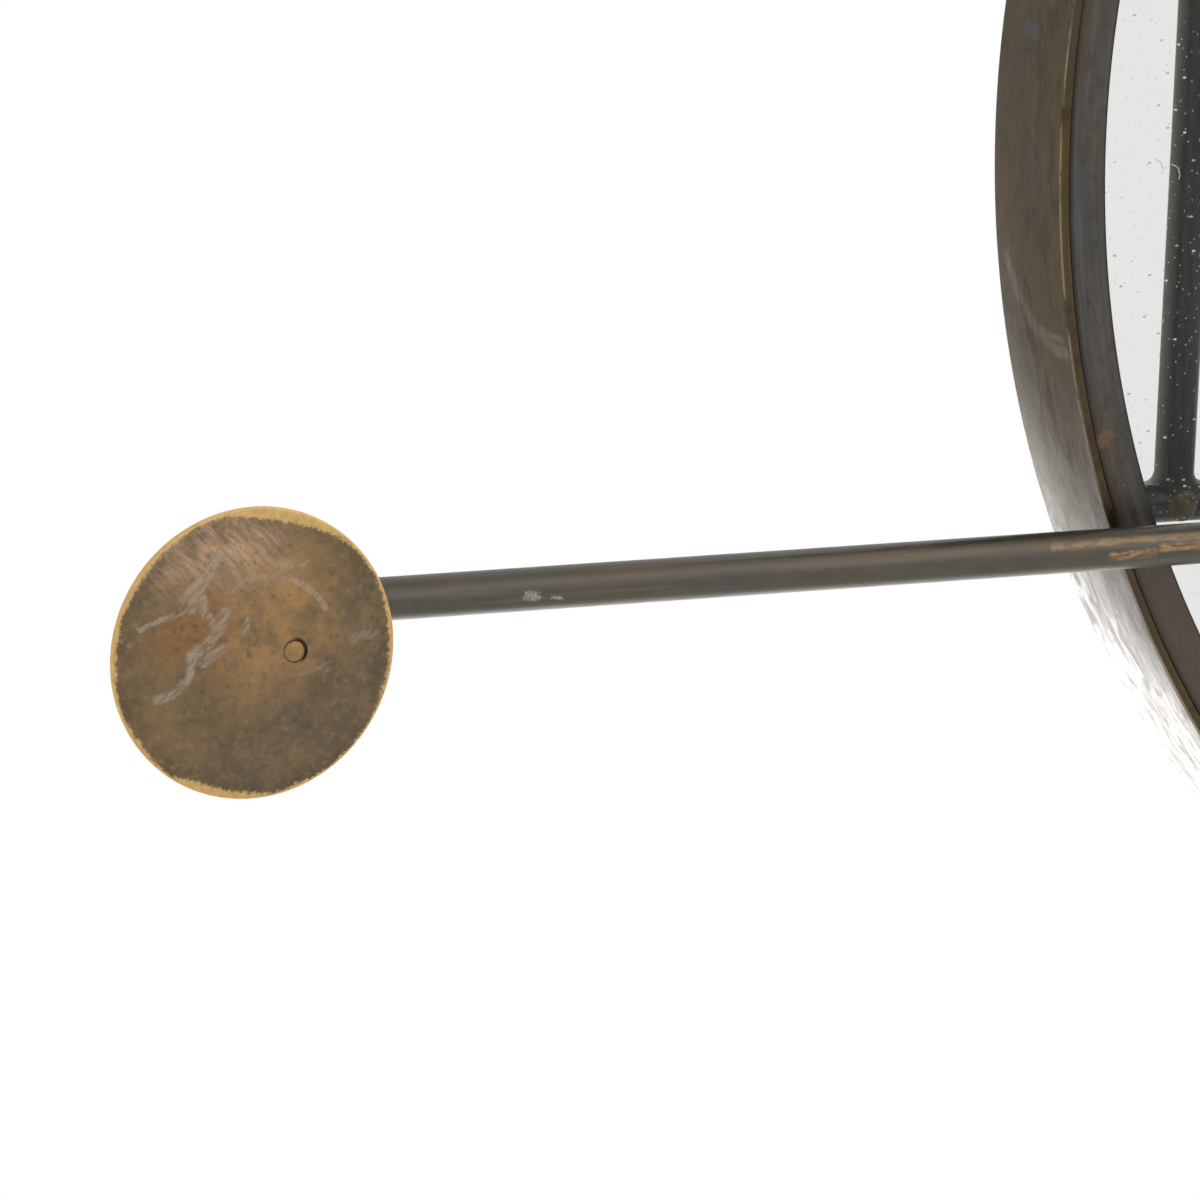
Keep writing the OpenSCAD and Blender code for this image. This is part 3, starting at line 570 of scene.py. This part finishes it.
DISC_LINES = (
    (0.7, ((-13.6, -6.4), (-16.1, -2.0), (-17.1, 2.4), (-16.0, 6.2))),
    (0.5, ((2.8, 17.7), (4.2, 14.0), (5.2, 10.3))),
    (0.7, ((-4.8, -29.7), (-3.6, -27.9))),
    (1.6, ((-2.3, 22.2), (-2.7, 27.4))),
)


def disc_look(side):
    """Aged brass: mottled brown and gold, grey rubs, and a ragged bright rim. side is 1 or -1."""
    look = Look("aged_brass" + ("_right" if side > 0 else "_left"), metallic=1.0, rough=0.45)
    centre = (side * DISC.x / MM, 0, (DISC.z - CENTRE.z) / MM)
    local = look.vector("SUBTRACT", look.spot, centre)
    split = look.add("SeparateXYZ", local)
    across, up = split.outputs[0], split.outputs[2]
    flat = look.point(across, 0.0, up)
    radius = look.vector("LENGTH", flat)
    shift = (0, 0, 0) if side > 0 else (31, 17, 23)
    cloud = look.noise(14, 6, 0.62, shift=shift)
    patch = look.noise(6, 7, 0.70, shift=(shift[0] + 4, 2, shift[2] + 9))
    grain = look.noise(1.6, 7, 0.78, shift=shift)
    look.base(look.step(cloud, 0.38, 0.62), (0.152, 0.114, 0.073), (0.212, 0.147, 0.083))
    gold_zone = look.step(look.vector("DISTANCE", flat, (-7.0 * side, 0, 4.0)), 22, 4)
    gold = look.calc("MULTIPLY", look.step(patch, 0.32, 0.62, 0.15, 1.0), look.plus(0.25, gold_zone),
                     clamp=True)
    look.lay(gold, (0.410, 0.238, 0.104), 0.85)
    ruddy = look.times(look.step(look.vector("DISTANCE", flat, (-7.0 * side, 0, -13.0)), 15, 3),
                       look.step(cloud, 0.40, 0.60, 0.2, 0.7))
    look.lay(ruddy, (0.275, 0.135, 0.060))
    haze = look.times(look.step(look.times(across, -1.0 * side), 8, 24),
                      look.step(look.times(up, side), 14, -2))
    slant = look.point(look.plus(across, up), 0.0, look.minus(up, across))
    fan = look.noise(2.0, 5, 0.7, place=slant, stretch=(5, 1, 1), warp=0.3)
    haze = look.times(haze, look.step(fan, 0.36, 0.66, 0.25, 1.0))
    look.lay(haze, (0.560, 0.375, 0.245), 0.9)
    dull = look.times(look.step(look.plus(up, look.times(across, side)), -2, 26),
                      look.step(patch, 0.64, 0.36, 0.35, 0.9))
    look.lay(dull, (0.122, 0.103, 0.078), 0.75)
    near_rim = look.times(look.step(radius, DISC_R / MM - 7.0, DISC_R / MM - 1.5),
                          look.step(patch, 0.60, 0.40, 0.3, 0.85))
    look.lay(near_rim, (0.098, 0.080, 0.056), 0.6)
    look.lay(look.step(grain, 0.50, 0.68, 0.0, 0.55), (0.36, 0.245, 0.125))
    look.lay(look.step(grain, 0.48, 0.32, 0.0, 0.60), (0.078, 0.060, 0.040))

    shake = look.noise(1.4, 4, 0.7, shift=(8, 8, 8))
    shaken = look.times(look.minus(shake, 0.5), 1.6)
    drawn = look.vector("ADD", flat, look.point(shaken, 0.0, shaken))
    if side < 0:
        drawn = look.vector("SCALE", drawn, scale=-1.0)
    marks = look.most(*[look.near_path(path, drawn, width) for width, path in DISC_SCRATCHES])
    lines = look.most(*[look.near_path(path, drawn, width) for width, path in DISC_LINES])
    rubbed = look.noise(1.3, 5, 0.75, place=slant, stretch=(1, 1, 4.0))
    marks = look.times(marks, look.step(rubbed, 0.40, 0.58, 0.10, 0.85))
    lines = look.times(lines, look.step(rubbed, 0.40, 0.60, 0.05, 0.42))
    front = look.step(look.y, DISC.y / MM + 0.3, DISC.y / MM - 0.3)
    marks = look.times(look.most(marks, lines), front)
    look.lay(marks, (0.370, 0.325, 0.260))

    # painted shade: a dark crescent in the ring round the rivet, on the side its seat leans to
    seat = look.vector("SUBTRACT", flat, (0, 0, (RIVET_AT.z - DISC.z) / MM))
    from_rivet = look.vector("LENGTH", seat)
    ring = look.times(look.step(from_rivet, 3.3, 2.9), look.step(from_rivet, 2.15, 2.4))
    far_side = look.step(look.vector("DOT_PRODUCT", seat, SEAT_LEAN * side / MM), 0.0, 0.5)
    seat_shade = look.times(ring, look.times(far_side, 0.9))
    dome = look.step(look.y, disc_low.y / MM - 0.15, disc_low.y / MM - 0.45)
    look.lay(dome, (0.40, 0.250, 0.105), 0.35)
    look.lay(seat_shade, (0.040, 0.030, 0.020))

    edge = look.noise(0.9, 5, 0.75, shift=shift)
    swing = look.noise(13, 3, shift=(shift[0] + 7, 0, shift[2] + 3))
    limit = look.plus(look.times(look.minus(edge, 0.5), 3.2),
                      look.times(look.minus(swing, 0.5), 3.5))
    ragged = look.plus(radius, limit)
    for wear, at, reach in ((1.7, (-0.98, 0, 0.18), 0.84), (1.3, (0.96, 0, -0.28), 0.93)):
        along = look.vector("DOT_PRODUCT", flat, tuple(c * side for c in at))
        toward = look.calc("DIVIDE", along, radius)
        ragged = look.plus(ragged, look.step(toward, reach, 1.0, 0.0, wear))
    rim = look.step(ragged, DISC_R / MM - 1.2, DISC_R / MM - 0.4)
    wall = look.step(radius, DISC_R / MM - 0.65, DISC_R / MM - 0.30)
    bright = look.mix(look.step(grain, 0.35, 0.65), (0.58, 0.375, 0.145), (0.76, 0.515, 0.215))
    look.lay(look.most(look.times(rim, 0.9), wall), bright)
    look.set("Roughness", look.step(grain, 0.3, 0.7, 0.38, 0.56))
    relief = look.plus(look.times(grain, 0.6), look.times(marks, 0.5))
    look.bump(relief, 0.07)
    return look.material


def metal_look(name, dark, light, rough=0.3, turned=None, size=3.0, metallic=1.0, relief=0.02):
    """Plain metal: clouds between two tones, and fine tool marks round an axis where turned is given."""
    look = Look(name, metallic=metallic, rough=rough)
    cloud = look.noise(size, 4, 0.6, warp=0.3)
    grain = look.noise(size / 12, 4, 0.7)
    look.base(look.step(cloud, 0.34, 0.66), dark, light)
    look.lay(look.step(grain, 0.62, 0.80, 0.0, 0.5), [min(1, c * 1.35) for c in light])
    look.set("Roughness", look.step(cloud, 0.25, 0.75, rough * 0.8, rough * 1.25))
    marks = grain
    if turned:
        flat = look.point(look.x, 0.0, look.z)
        reach = look.vector("DISTANCE", flat, turned)
        rings = look.noise(0.22, 2, place=look.point(reach, 0.0, 0.0))
        marks = look.plus(look.times(rings, 0.8), look.times(grain, 0.2))
    look.bump(marks, relief)
    return look.material


def zinc_look():
    """Zinc-plated steel: pale crystals of slightly different grey, rolled lines and dull stains."""
    look = Look("zinc_steel", metallic=1.0, rough=0.33)
    shade = look.cells(1 / 0.35)[0]
    rolled = look.noise(0.6, 3, stretch=(24, 1, 1))
    stain = look.noise(11, 4, 0.6, warp=0.7)
    look.base(shade, (0.46, 0.47, 0.48), (0.60, 0.61, 0.615))
    look.lay(look.step(stain, 0.50, 0.72, 0.0, 0.45), (0.34, 0.33, 0.31))
    look.set("Roughness", look.plus(0.24, look.times(stain, 0.26)))
    look.bump(look.plus(look.times(shade, 0.3), look.times(rolled, 0.7)), 0.02)
    return look.material


def board_look():
    """Pressed brown hardboard: matted fibres and darker flecks."""
    look = Look("backing_board", rough=0.8, specular=0.25)
    fibre = look.noise(1.3, 6, 0.75, stretch=(1, 1, 3.2), warp=1.2)
    cross = look.noise(1.1, 6, 0.75, stretch=(3.0, 1, 1), shift=(6, 0, 2), warp=1.0)
    cloud = look.noise(45, 3)
    look.base(look.step(fibre, 0.32, 0.68), (0.125, 0.075, 0.040), (0.265, 0.170, 0.095))
    look.lay(look.step(cross, 0.52, 0.75, 0.0, 0.55), (0.33, 0.22, 0.13))
    look.lay(look.step(cloud, 0.35, 0.7, 0.0, 0.35), (0.14, 0.088, 0.05))
    flecks = look.specks(4.5, 0.5, 0.35, stretch=(1, 1, 1.7))
    look.lay(flecks, (0.06, 0.036, 0.02), 0.6)
    look.bump(look.plus(look.times(fibre, 0.5), look.times(cross, 0.5)), 0.12)
    return look.material


def plastic_look(name, colour, rough, grain_mm=0.25, relief=0.02, scuff=0.12):
    """Moulded plastic: fine spark-eroded grain, a faint uneven sheen and a few scuffs."""
    look = Look(name, rough=rough, specular=0.45)
    grain = look.noise(grain_mm, 3, 0.6)
    cloud = look.noise(14, 3)
    scuffs = look.noise(0.8, 4, 0.7, stretch=(14, 3, 1), warp=0.8)
    look.base(look.step(cloud, 0.3, 0.7), [c * 0.88 for c in colour], [min(1, c * 1.1) for c in colour])
    look.lay(look.step(scuffs, 0.66, 0.78, 0.0, scuff), (0.45, 0.45, 0.45))
    look.set("Roughness", look.plus(rough - 0.06, look.times(cloud, 0.14)))
    look.bump(grain, relief)
    return look.material


def copper_look():
    """Enamelled wire: red-gold turns that catch the light one by one."""
    look = Look("copper_wire", metallic=1.0, rough=0.28)
    turn = look.noise(0.35, 2, stretch=(9, 9, 1))
    cloud = look.noise(3, 3)
    look.base(look.step(turn, 0.35, 0.65), (0.40, 0.135, 0.055), (0.66, 0.275, 0.125))
    look.lay(look.step(cloud, 0.5, 0.75, 0.0, 0.5), (0.30, 0.09, 0.04))
    look.set("Coat Weight", 0.4)
    look.bump(turn, 0.03)
    return look.material


def circuit_look():
    """Green solder mask over straight copper tracks."""
    look = Look("board_green", rough=0.32)
    tracks = look.add("TexBrick", look.point(look.x, look.z, 0.0))
    tracks.inputs["Scale"].default_value = 0.9
    tracks.inputs["Mortar Size"].default_value = 0.06
    tracks.inputs["Color1"].default_value = (1, 1, 1, 1)
    tracks.inputs["Color2"].default_value = (0.6, 0.6, 0.6, 1)
    tracks.inputs["Mortar"].default_value = (0, 0, 0, 1)
    copper = look.add("SeparateColor", tracks.outputs["Color"]).outputs[0]
    weave = look.noise(0.4, 3)
    look.base(copper, (0.035, 0.15, 0.065), (0.020, 0.085, 0.040))
    look.lay(look.step(weave, 0.5, 0.8, 0.0, 0.3), (0.05, 0.20, 0.10))
    look.bump(look.plus(copper, look.times(weave, 0.2)), 0.03)
    return look.material


# ---------------------------------------------------------------- case and dial
def build_case():
    band = eased([(RING_R, 0), (RING_R, LIP_Y), (HOOP_R, LIP_Y), (HOOP_R, 0)], 0.45 * MM)
    place(lathe(band, CENTRE, turns=512), hoop_look(), "hoop_band")
    seam = 0.15 * MM
    section = eased([(RING_R - RING_W, GLASS_Y), (RING_R - RING_W, RING_Y), (RING_R - seam, RING_Y),
                     (RING_R - seam, GLASS_Y)], 0.4 * MM)
    place(lathe(section, CENTRE, turns=512), ring_look(), "bezel_ring")

    split_y = glass_high.y - SILVER_T
    glass = eased(plate_outline(GLASS_R, split_y, GLASS_Y), 0.6 * MM)
    silver = plate_outline(GLASS_R, glass_high.y, split_y + SILVER_GAP)
    for outline, look, name in ((glass, pane_look(), "mirror_pane"),
                                (silver, silver_look(), "mirror_silver")):
        holes = cylinder_y(ARBOR_HOLE_R, CENTRE), cylinder_y(POST_HOLE_R, PIVOT)
        place(carved(lathe(outline, CENTRE, turns=512), *holes), look, "mirror_dial", name=name)

    low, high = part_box("backing_plate")
    board = lathe(eased(plate_outline(GLASS_R, high.y, low.y), 0.3 * MM), CENTRE, turns=512)
    holes = [cylinder_y(ARBOR_HOLE_R, CENTRE), cylinder_y(POST_HOLE_R, PIVOT),
             cylinder_y(COIL_HOLE_R, middle("drive_coil"))]
    holes += [cylinder_y(SCREW_HOLE_R, Vector((x, 0, z))) for x, z in screw_spots()]
    place(carved(board, *holes), board_look(), "backing_plate")

    zinc = zinc_look()
    soften(zinc, 0.35, "retaining_tabs")
    soften(zinc, 0.4, "hanger_bar")
    place(weld_beads(), zinc, name="weld_beads", body="root", slot="zinc_steel")
    satin = metal_look("marker_brass", (0.50, 0.36, 0.155), (0.66, 0.49, 0.235), 0.26, size=6)
    soften(satin, 0.35, "hour_markers", segments=3)


def plate_outline(radius, back, front):
    return [(0, back), (radius, back), (radius, front), (0, front)]


def screw_spots():
    """x and z of the two drive screws."""
    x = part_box("drive_screws")[1].x - SCREW_HEAD_R
    return [(side * x, middle("drive_screws").z) for side in (-1, 1)]


def cylinder_y(radius, at):
    """A cutter along Y that passes right through the case."""
    reach = 60 * MM
    return lathe(plate_outline(radius, -reach, reach), Vector((at.x, 0, at.z)), turns=96)


def weld_beads():
    """A lumpy bead of weld behind each of the six tabs, where its leg meets the band."""
    bead_r, sag, half_arc = 1.1 * MM, 0.25 * MM, math.radians(2.2)
    middle_r = RING_R - 0.8 * MM
    middle_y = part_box("retaining_tabs")[1].y + 0.1 * MM
    profile = [(middle_r + bead_r * math.cos(a), middle_y + bead_r * math.sin(a))
               for a in round_angles(10)]
    beads = []
    for i in range(6):
        at = math.radians(i * 60 + 90)
        bead = lathe(profile, CENTRE, turns=40, arc=(at - half_arc, 2 * half_arc))
        for v in bead.verts:
            lump = noise.noise(v.co / (1.3 * MM)) + 0.5 * noise.noise(v.co / (0.6 * MM))
            inward = CENTRE - v.co
            inward.y = 0
            v.co += inward.normalized() * sag * lump
            v.co.y += sag * lump
        beads.append(bead)
    return joined(*beads)


# ---------------------------------------------------------------- movement and drive
def scalloped(points, pitch, depth):
    """The outline with each side broken into round turns of wire, cut into the solid by depth."""
    out = []
    count = len(points)
    for i, start in enumerate(points):
        start, end = Vector(start), Vector(points[(i + 1) % count])
        run = end - start
        inward = Vector((run.y, -run.x)).normalized()
        turns = max(1, round(run.length / pitch))
        for k in range(turns):
            for step in (0.0, 0.18, 0.5, 0.82):
                hollow = 1 - math.sqrt(max(0.0, 1 - (2 * step - 1) ** 2))
                out.append(start + run * ((k + step) / turns) + inward * depth * hollow)
    return out


def threaded(inner, outer, y0, y1, pitch=0.5 * MM):
    """Outline of a sleeve with thread grooves on its outside."""
    chamfer, groove, plain = 0.3 * MM, 0.28 * MM, 0.6 * MM
    outline = [(inner, y1), (inner, y0), (outer - chamfer, y0)]
    for k in range(int((y1 - y0 - plain) / pitch)):
        y = y0 + chamfer + k * pitch
        outline += [(outer, y + 0.1 * pitch), (outer, y + 0.3 * pitch),
                    (outer - groove, y + 0.65 * pitch)]
    return outline + [(outer, y1 - 0.2 * MM), (outer, y1)]


def cell(node):
    """A round cell along X: crimped shoulders, recessed negative end and a raised positive end."""
    low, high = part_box(node)
    r, end, at = (high.z - low.z) / 2 / MM, (high.x - low.x) / MM, middle(node)
    outline = [(0, 0.4), (4.8, 0.4), (5.3, 0), (r - 0.7, 0), (r - 0.1, 0.6), (r - 0.1, 1.1), (r, 1.3),
               (r, end - 3.4), (r - 0.1, end - 3.2), (r - 0.2, end - 2.6), (r - 0.8, end - 1.7),
               (3.6, end - 1.5), (2.7, end - 1.4), (2.6, end - 0.3), (2.2, end), (0, end)]
    outline = [(radius * MM, low.x + along * MM) for radius, along in outline]
    return lathe(eased(outline, 0.25 * MM, 3), (0, at.y, at.z), "X", turns=96)


def cell_look():
    """Plain printed jacket with a pale band, between bare steel ends."""
    look = Look("cell_jacket", metallic=0.35, rough=0.3)
    ends = look.most(look.step(look.x, 21.7, 21.9), look.step(look.x, -24.0, -24.2))
    band = look.times(look.step(look.x, 12.9, 13.1), look.step(look.x, 18.1, 17.9))
    cloud = look.noise(5, 3)
    look.base(look.step(cloud, 0.3, 0.7), (0.035, 0.048, 0.066), (0.048, 0.064, 0.085))
    look.lay(band, (0.42, 0.42, 0.40))
    look.lay(look.step(look.noise(0.7, 4, stretch=(10, 1, 1)), 0.64, 0.74, 0.0, 0.4), (0.3, 0.3, 0.3))
    look.lay(ends, (0.58, 0.58, 0.57))
    look.set("Roughness", look.step(cloud, 0.2, 0.8, 0.24, 0.36))
    look.bump(look.noise(0.5, 3), 0.01)
    return look.material


def build_movement():
    black = plastic_look("black_plastic", (0.020, 0.020, 0.022), 0.48)
    white = plastic_look("white_plastic", (0.72, 0.71, 0.67), 0.34, scuff=0.05)
    brass = metal_look("brass", (0.48, 0.33, 0.135), (0.68, 0.50, 0.23), 0.26, turned=(0, 0, 0))
    steel = metal_look("bright_steel", (0.50, 0.50, 0.50), (0.64, 0.64, 0.63), 0.22)
    iron = metal_look("stator_iron", (0.30, 0.30, 0.31), (0.42, 0.42, 0.42), 0.38)
    nickel = metal_look("nickel", (0.55, 0.53, 0.49), (0.70, 0.68, 0.64), 0.2)
    rubber = plastic_look("gasket_rubber", (0.014, 0.014, 0.014), 0.8, 0.5, 0.04, 0.05)
    copper = copper_look()
    chip = plastic_look("chip_black", (0.008, 0.008, 0.008), 0.18, 1.2, 0.01, 0.0)

    for housing in ("movement", "drive"):
        soften(black, 0.45, housing + "_case", segments=3)
        soften(black, 0.35, housing + "_cover", segments=3)
    soften(rubber, 0.2, "dial_gasket")
    cells = cell_look()
    for node in ("battery", "drive_battery"):
        place(cell(node), cells, node)
    paint(circuit_look(), "circuit_board")
    paint(chip, "control_chip")
    paint(iron, "motor_stator")
    paint(nickel, "quartz_crystal", "rotor_magnet", "drive_magnet")
    paint(brass, "centre_wheel", "cannon_pinion", "third_wheel", "third_pinion", "hour_pipe")
    paint(white, "coil_bobbin", "hour_wheel", "motion_wheel", "motion_pinion", "rotor_pinion")
    soften(steel, 0.1, "contact_positive", "contact_negative")
    soften(steel, 0.2, "minute_arbor")
    soften(steel, 0.1, "third_arbor")
    soften(white, 0.3, "set_knob")

    low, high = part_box("motor_coil")
    at = middle("motor_coil")
    wire = scalloped(sleeve_outline(2.6 * MM, (high.x - low.x) / 2, low.z, high.z), 0.45 * MM, 0.16 * MM)
    place(lathe(wire, (at.x, at.y, 0), "Z", turns=48), copper, "motor_coil", angle=80)
    low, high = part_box("drive_coil")
    at = Vector((0, 0, middle("drive_coil").z))
    wire = scalloped(sleeve_outline(4.0 * MM, (high.x - low.x) / 2, low.y, high.y), 0.6 * MM, 0.2 * MM)
    place(lathe(wire, at, turns=128), copper, "drive_coil", angle=80)

    low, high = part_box("mounting_bushing")
    sleeve = threaded(2.55 * MM, (high.x - low.x) / 2, low.y, high.y)
    place(lathe(sleeve, CENTRE, turns=96), brass, "mounting_bushing", angle=60)
    soften(brass, 0.12, "bushing_washer")
    soften(brass, 0.3, "bushing_nut", segments=3)

    zinc = zinc_look()
    soften(zinc, 0.35, "post_nut", segments=3)
    screws = refined("drive_screws", 0.15 * MM)
    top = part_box("drive_screws")[1].y
    for x, z in screw_spots():
        for wide, tall in ((1.7, 0.35), (0.35, 1.7)):
            slot = box_mesh((x - wide * MM, top - 0.9 * MM, z - tall * MM),
                            (x + wide * MM, top + 1 * MM, z + tall * MM))
            screws = carved(screws, slot)
    place(screws, zinc, "drive_screws")


def sleeve_outline(inner, outer, low, high):
    return [(inner, low), (inner, high), (outer, high), (outer, low)]


# ---------------------------------------------------------------- hands and pendulum
def build_hands():
    bronze = metal_look("hand_bronze", (0.060, 0.050, 0.040), (0.092, 0.078, 0.062), 0.34, size=5,
                        relief=0.04)
    brass = metal_look("hand_brass", (0.50, 0.36, 0.155), (0.70, 0.52, 0.25), 0.24, turned=(0, 0, 0))
    soften(bronze, 0.22, "minute_hand", "hour_hand", segments=3)
    soften(brass, 0.2, "hand_nut", segments=3)


def flared_bar(x0, x1, z, flare=3 * MM, around=48):
    """A round bar from x0 to x1 that spreads, above and below, in a brazed fillet as it meets the rod."""
    bm = bmesh.new()
    start = ROD.x - ROD_R - flare
    stations = [x0] + [start + flare * math.sin(k * TAU / 48) for k in range(13)] + [x1]
    rings = []
    for x in stations:
        into = min(max(x - start, 0), flare)
        tall = ROD_R + flare - math.sqrt(flare ** 2 - into ** 2)
        rings.append([bm.verts.new((x, ROD.y + ROD_R * math.sin(a), z + tall * math.cos(a)))
                      for a in round_angles(around)])
    for a, b in zip(rings, rings[1:]):
        for i in range(around):
            j = (i + 1) % around
            bm.faces.new([a[i], a[j], b[j], b[i]])
    bm.faces.new(rings[0])
    bm.faces.new(rings[-1])
    return bm


def dome(radius, base, height, shank=None):
    """Outline of a rivet head bulging from its base by height, and its shank. height may be negative."""
    steps = 9
    lip = 0.12 * height
    points = [(0, base)] if shank is None else [(0, shank), (radius * 0.5, shank), (radius * 0.5, base)]
    points += [(radius * 0.96, base), (radius, base + lip)]
    for k in range(1, steps + 1):
        a = k / steps * TAU / 4
        reach = radius * math.cos(a) ** 0.9 if k < steps else 0
        points.append((reach, base + lip + (height - lip) * math.sin(a)))
    return points


def build_rods(bronze):
    """The two rods, flattened in front at their lower ends where the discs' tabs lap them."""
    low, high = rod_low, rod_high
    lap_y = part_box("disc_tabs")[1].y
    lap_top = DISC.z + DISC_R - 6 * MM
    outline = eased([(0, low.z), (ROD_R, low.z), (ROD_R, high.z), (0, high.z)], 0.7 * MM)
    for node, side in (("rod_right", 1), ("rod_left", -1)):
        rod = lathe(outline, (side * ROD.x, ROD.y, 0), "Z", turns=96)
        lap = box_mesh((side * ROD.x - 2 * ROD_R, ROD.y - 2 * ROD_R, low.z - ROD_R),
                       (side * ROD.x + 2 * ROD_R, lap_y, lap_top))
        place(carved(rod, lap), bronze, node)


def build_frame(bronze):
    """Crossbars, hub and the other bronze parts between the rods, and the pivot's brass."""
    end = ROD.x - 0.3 * ROD_R
    place(mirrored(flared_bar(0, end, middle("crossbar_lower").z)), bronze, "crossbar_lower")
    place(mirrored(flared_bar(0.8 * HUB_R, end, PIVOT.z)), bronze, "crossbar_upper")
    hub_bore = 5 * MM
    hub = eased(sleeve_outline(hub_bore, HUB_R, hub_high.y, hub_low.y), 0.8 * MM)
    place(lathe(hub, (0, 0, PIVOT.z), turns=128), bronze, "pendulum_hub")
    soften(bronze, 0.4, "magnet_tail", "suspension_post", segments=3)
    soften(bronze, 0.35, "disc_tabs", segments=3)
    brass = metal_look("pivot_brass", (0.46, 0.32, 0.14), (0.64, 0.47, 0.22), 0.26,
                       turned=(0, 0, (PIVOT.z - CENTRE.z) / MM))
    soften(brass, 0.2, "hub_bushing")
    low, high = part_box("pivot_cap")
    r, face, bore = (high.x - low.x) / 2, low.y, 3 * MM
    cap = [(0, face), (r * 0.62, face + 0.5 * MM), (r, face + 2.6 * MM), (r, face + 3.9 * MM),
           (r - 0.45 * MM, face + 4.2 * MM), (r, face + 4.5 * MM), (r, high.y), (bore, high.y),
           (bore, high.y - 4 * MM), (0, high.y - 4 * MM)]
    place(lathe(eased(cap, 1.1 * MM, 6), (0, 0, PIVOT.z), turns=128), brass, "pivot_cap")


def build_discs():
    """The two discs, each with a sunk seat for its rivet, and the rivets."""
    lap_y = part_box("disc_tabs")[1].y
    head_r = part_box("disc_rivets")[1].x - RIVET_AT.x
    front = disc_low.y
    face = eased(plate_outline(DISC_R, disc_high.y, front), 0.5 * MM, 5)
    seat = plate_outline(head_r + SEAT_LEAN.length, front - MM, front + SEAT_DEPTH)
    head_tall, tail_tall = 1.2 * MM, 0.9 * MM
    head = dome(head_r, front + SEAT_DEPTH, -head_tall, lap_y)
    tail = dome(head_r, lap_y, tail_tall)
    rivets = []
    looks = {}
    for node, side in (("disc_right", 1), ("disc_left", -1)):
        looks[node] = disc_look(side)
        seat_at = Vector((side * (RIVET_AT.x + SEAT_LEAN.x), 0, RIVET_AT.z + SEAT_LEAN.z))
        disc = lathe(face, Vector((side * DISC.x, 0, DISC.z)), turns=320)
        place(carved(disc, lathe(seat, seat_at, turns=96)), looks[node], node)
        at = Vector((side * RIVET_AT.x, 0, RIVET_AT.z))
        rivets += [lathe(head, at, turns=64), lathe(tail, at, turns=64)]
    place(joined(*rivets), looks["disc_right"], "disc_rivets", angle=50)


def build_crossbar_rivets():
    """The four rivets at the backs of the crossbars' ends."""
    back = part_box("crossbar_rivets")[1].y
    head_r, tall = 3.8 * MM, 1.4 * MM
    bead = dome(head_r, back - tall, tall, ROD.y)
    heads = [lathe(bead, Vector((side * ROD.x, 0, z)), turns=64)
             for z in (middle("crossbar_lower").z, PIVOT.z) for side in (-1, 1)]
    braze = metal_look("braze_brass", (0.060, 0.050, 0.028), (0.120, 0.094, 0.048), 0.42, relief=0.05)
    place(joined(*heads), braze, "crossbar_rivets", angle=50)


def build_pendulum():
    bronze = rod_look()
    build_rods(bronze)
    build_frame(bronze)
    build_discs()
    build_crossbar_rivets()


# ---------------------------------------------------------------- camera, light and floor
# From a least squares fit of the hoop, rod, disc and reflections in the photo.
VIEW_FROM = Vector((-0.1694, -1.1149, -0.8474))  # from the hoop's centre
VIEW_ALONG = Vector((0.22215, 0.89041, 0.39726))
VIEW_UP = Vector((-0.97460, 0.21460, 0.06401))


def make_camera():
    data = bpy.data.cameras.new("camera")
    data.lens = 165
    data.sensor_width = 36
    data.clip_start = 0.05
    data.clip_end = 50
    camera = bpy.data.objects.new("camera", data)
    bpy.context.scene.collection.objects.link(camera)
    forward = VIEW_ALONG.normalized()
    right = forward.cross(VIEW_UP).normalized()
    up = right.cross(forward)
    turn = Matrix((right, up, -forward)).transposed().to_4x4()
    camera.matrix_world = Matrix.Translation(CENTRE + VIEW_FROM) @ turn
    bpy.context.scene.camera = camera


def make_world():
    """White where the camera looks. For light and reflections, a soft front and a bright backdrop."""
    world = bpy.data.worlds.new("studio")
    world.use_nodes = True
    world.node_tree.nodes.clear()
    sky = Nodes(world.node_tree)
    generated = sky.add("TexCoord").outputs["Generated"]
    across, depth, height = sky.add("SeparateXYZ", generated).outputs[:3]

    window = sky.times(sky.step(across, -0.85, -0.60),
                       sky.plus(sky.step(across, -0.42, -0.12, 0.0, -0.60), 0.60))
    front = sky.plus(sky.step(height, -0.5, 0.15, 0.0, 0.42), window, 0.46)
    lobe = sky.plus(sky.step(height, -0.16, -0.04, 0.0, 2.1), sky.step(height, 0.12, 0.5, 0.0, -1.4))
    lobe = sky.times(lobe, sky.step(across, 0.10, 0.36))
    back = sky.plus(sky.step(height, -0.36, -0.20, 0.0, 0.30), sky.step(height, -0.20, -0.07, 0.0, 0.45),
                    lobe, 0.34)
    strength = sky.add("Mix", sky.step(depth, -0.1, 0.5))
    sky.feed(strength.inputs[2], front)
    sky.feed(strength.inputs[3], back)

    around = sky.add("Background", (1.0, 0.995, 0.985, 1), strength.outputs[0])
    seen = sky.add("Background", (1, 1, 1, 1))
    by_camera = sky.add("LightPath").outputs["Is Camera Ray"]
    both = sky.add("MixShader", by_camera, around.outputs[0], seen.outputs[0])
    sky.add("OutputWorld", both.outputs[0])
    bpy.context.scene.world = world


def make_floor():
    bm = bmesh.new()
    bmesh.ops.create_circle(bm, cap_ends=True, segments=128, radius=3.0)
    mesh = bpy.data.meshes.new("floor")
    bm.to_mesh(mesh)
    bm.free()
    floor = bpy.data.objects.new("floor", mesh)
    floor.location.z = -1.75
    bpy.context.scene.collection.objects.link(floor)
    look = Look("floor", rough=0.75, specular=0.2)
    look.base(look.noise(400, 3), (0.74, 0.735, 0.72), (0.80, 0.795, 0.78))
    floor.data.materials.append(look.material)


make_camera()
make_world()
make_floor()
build_case()
build_movement()
build_hands()
build_pendulum()
bpy.context.scene.view_settings.view_transform = "Standard"
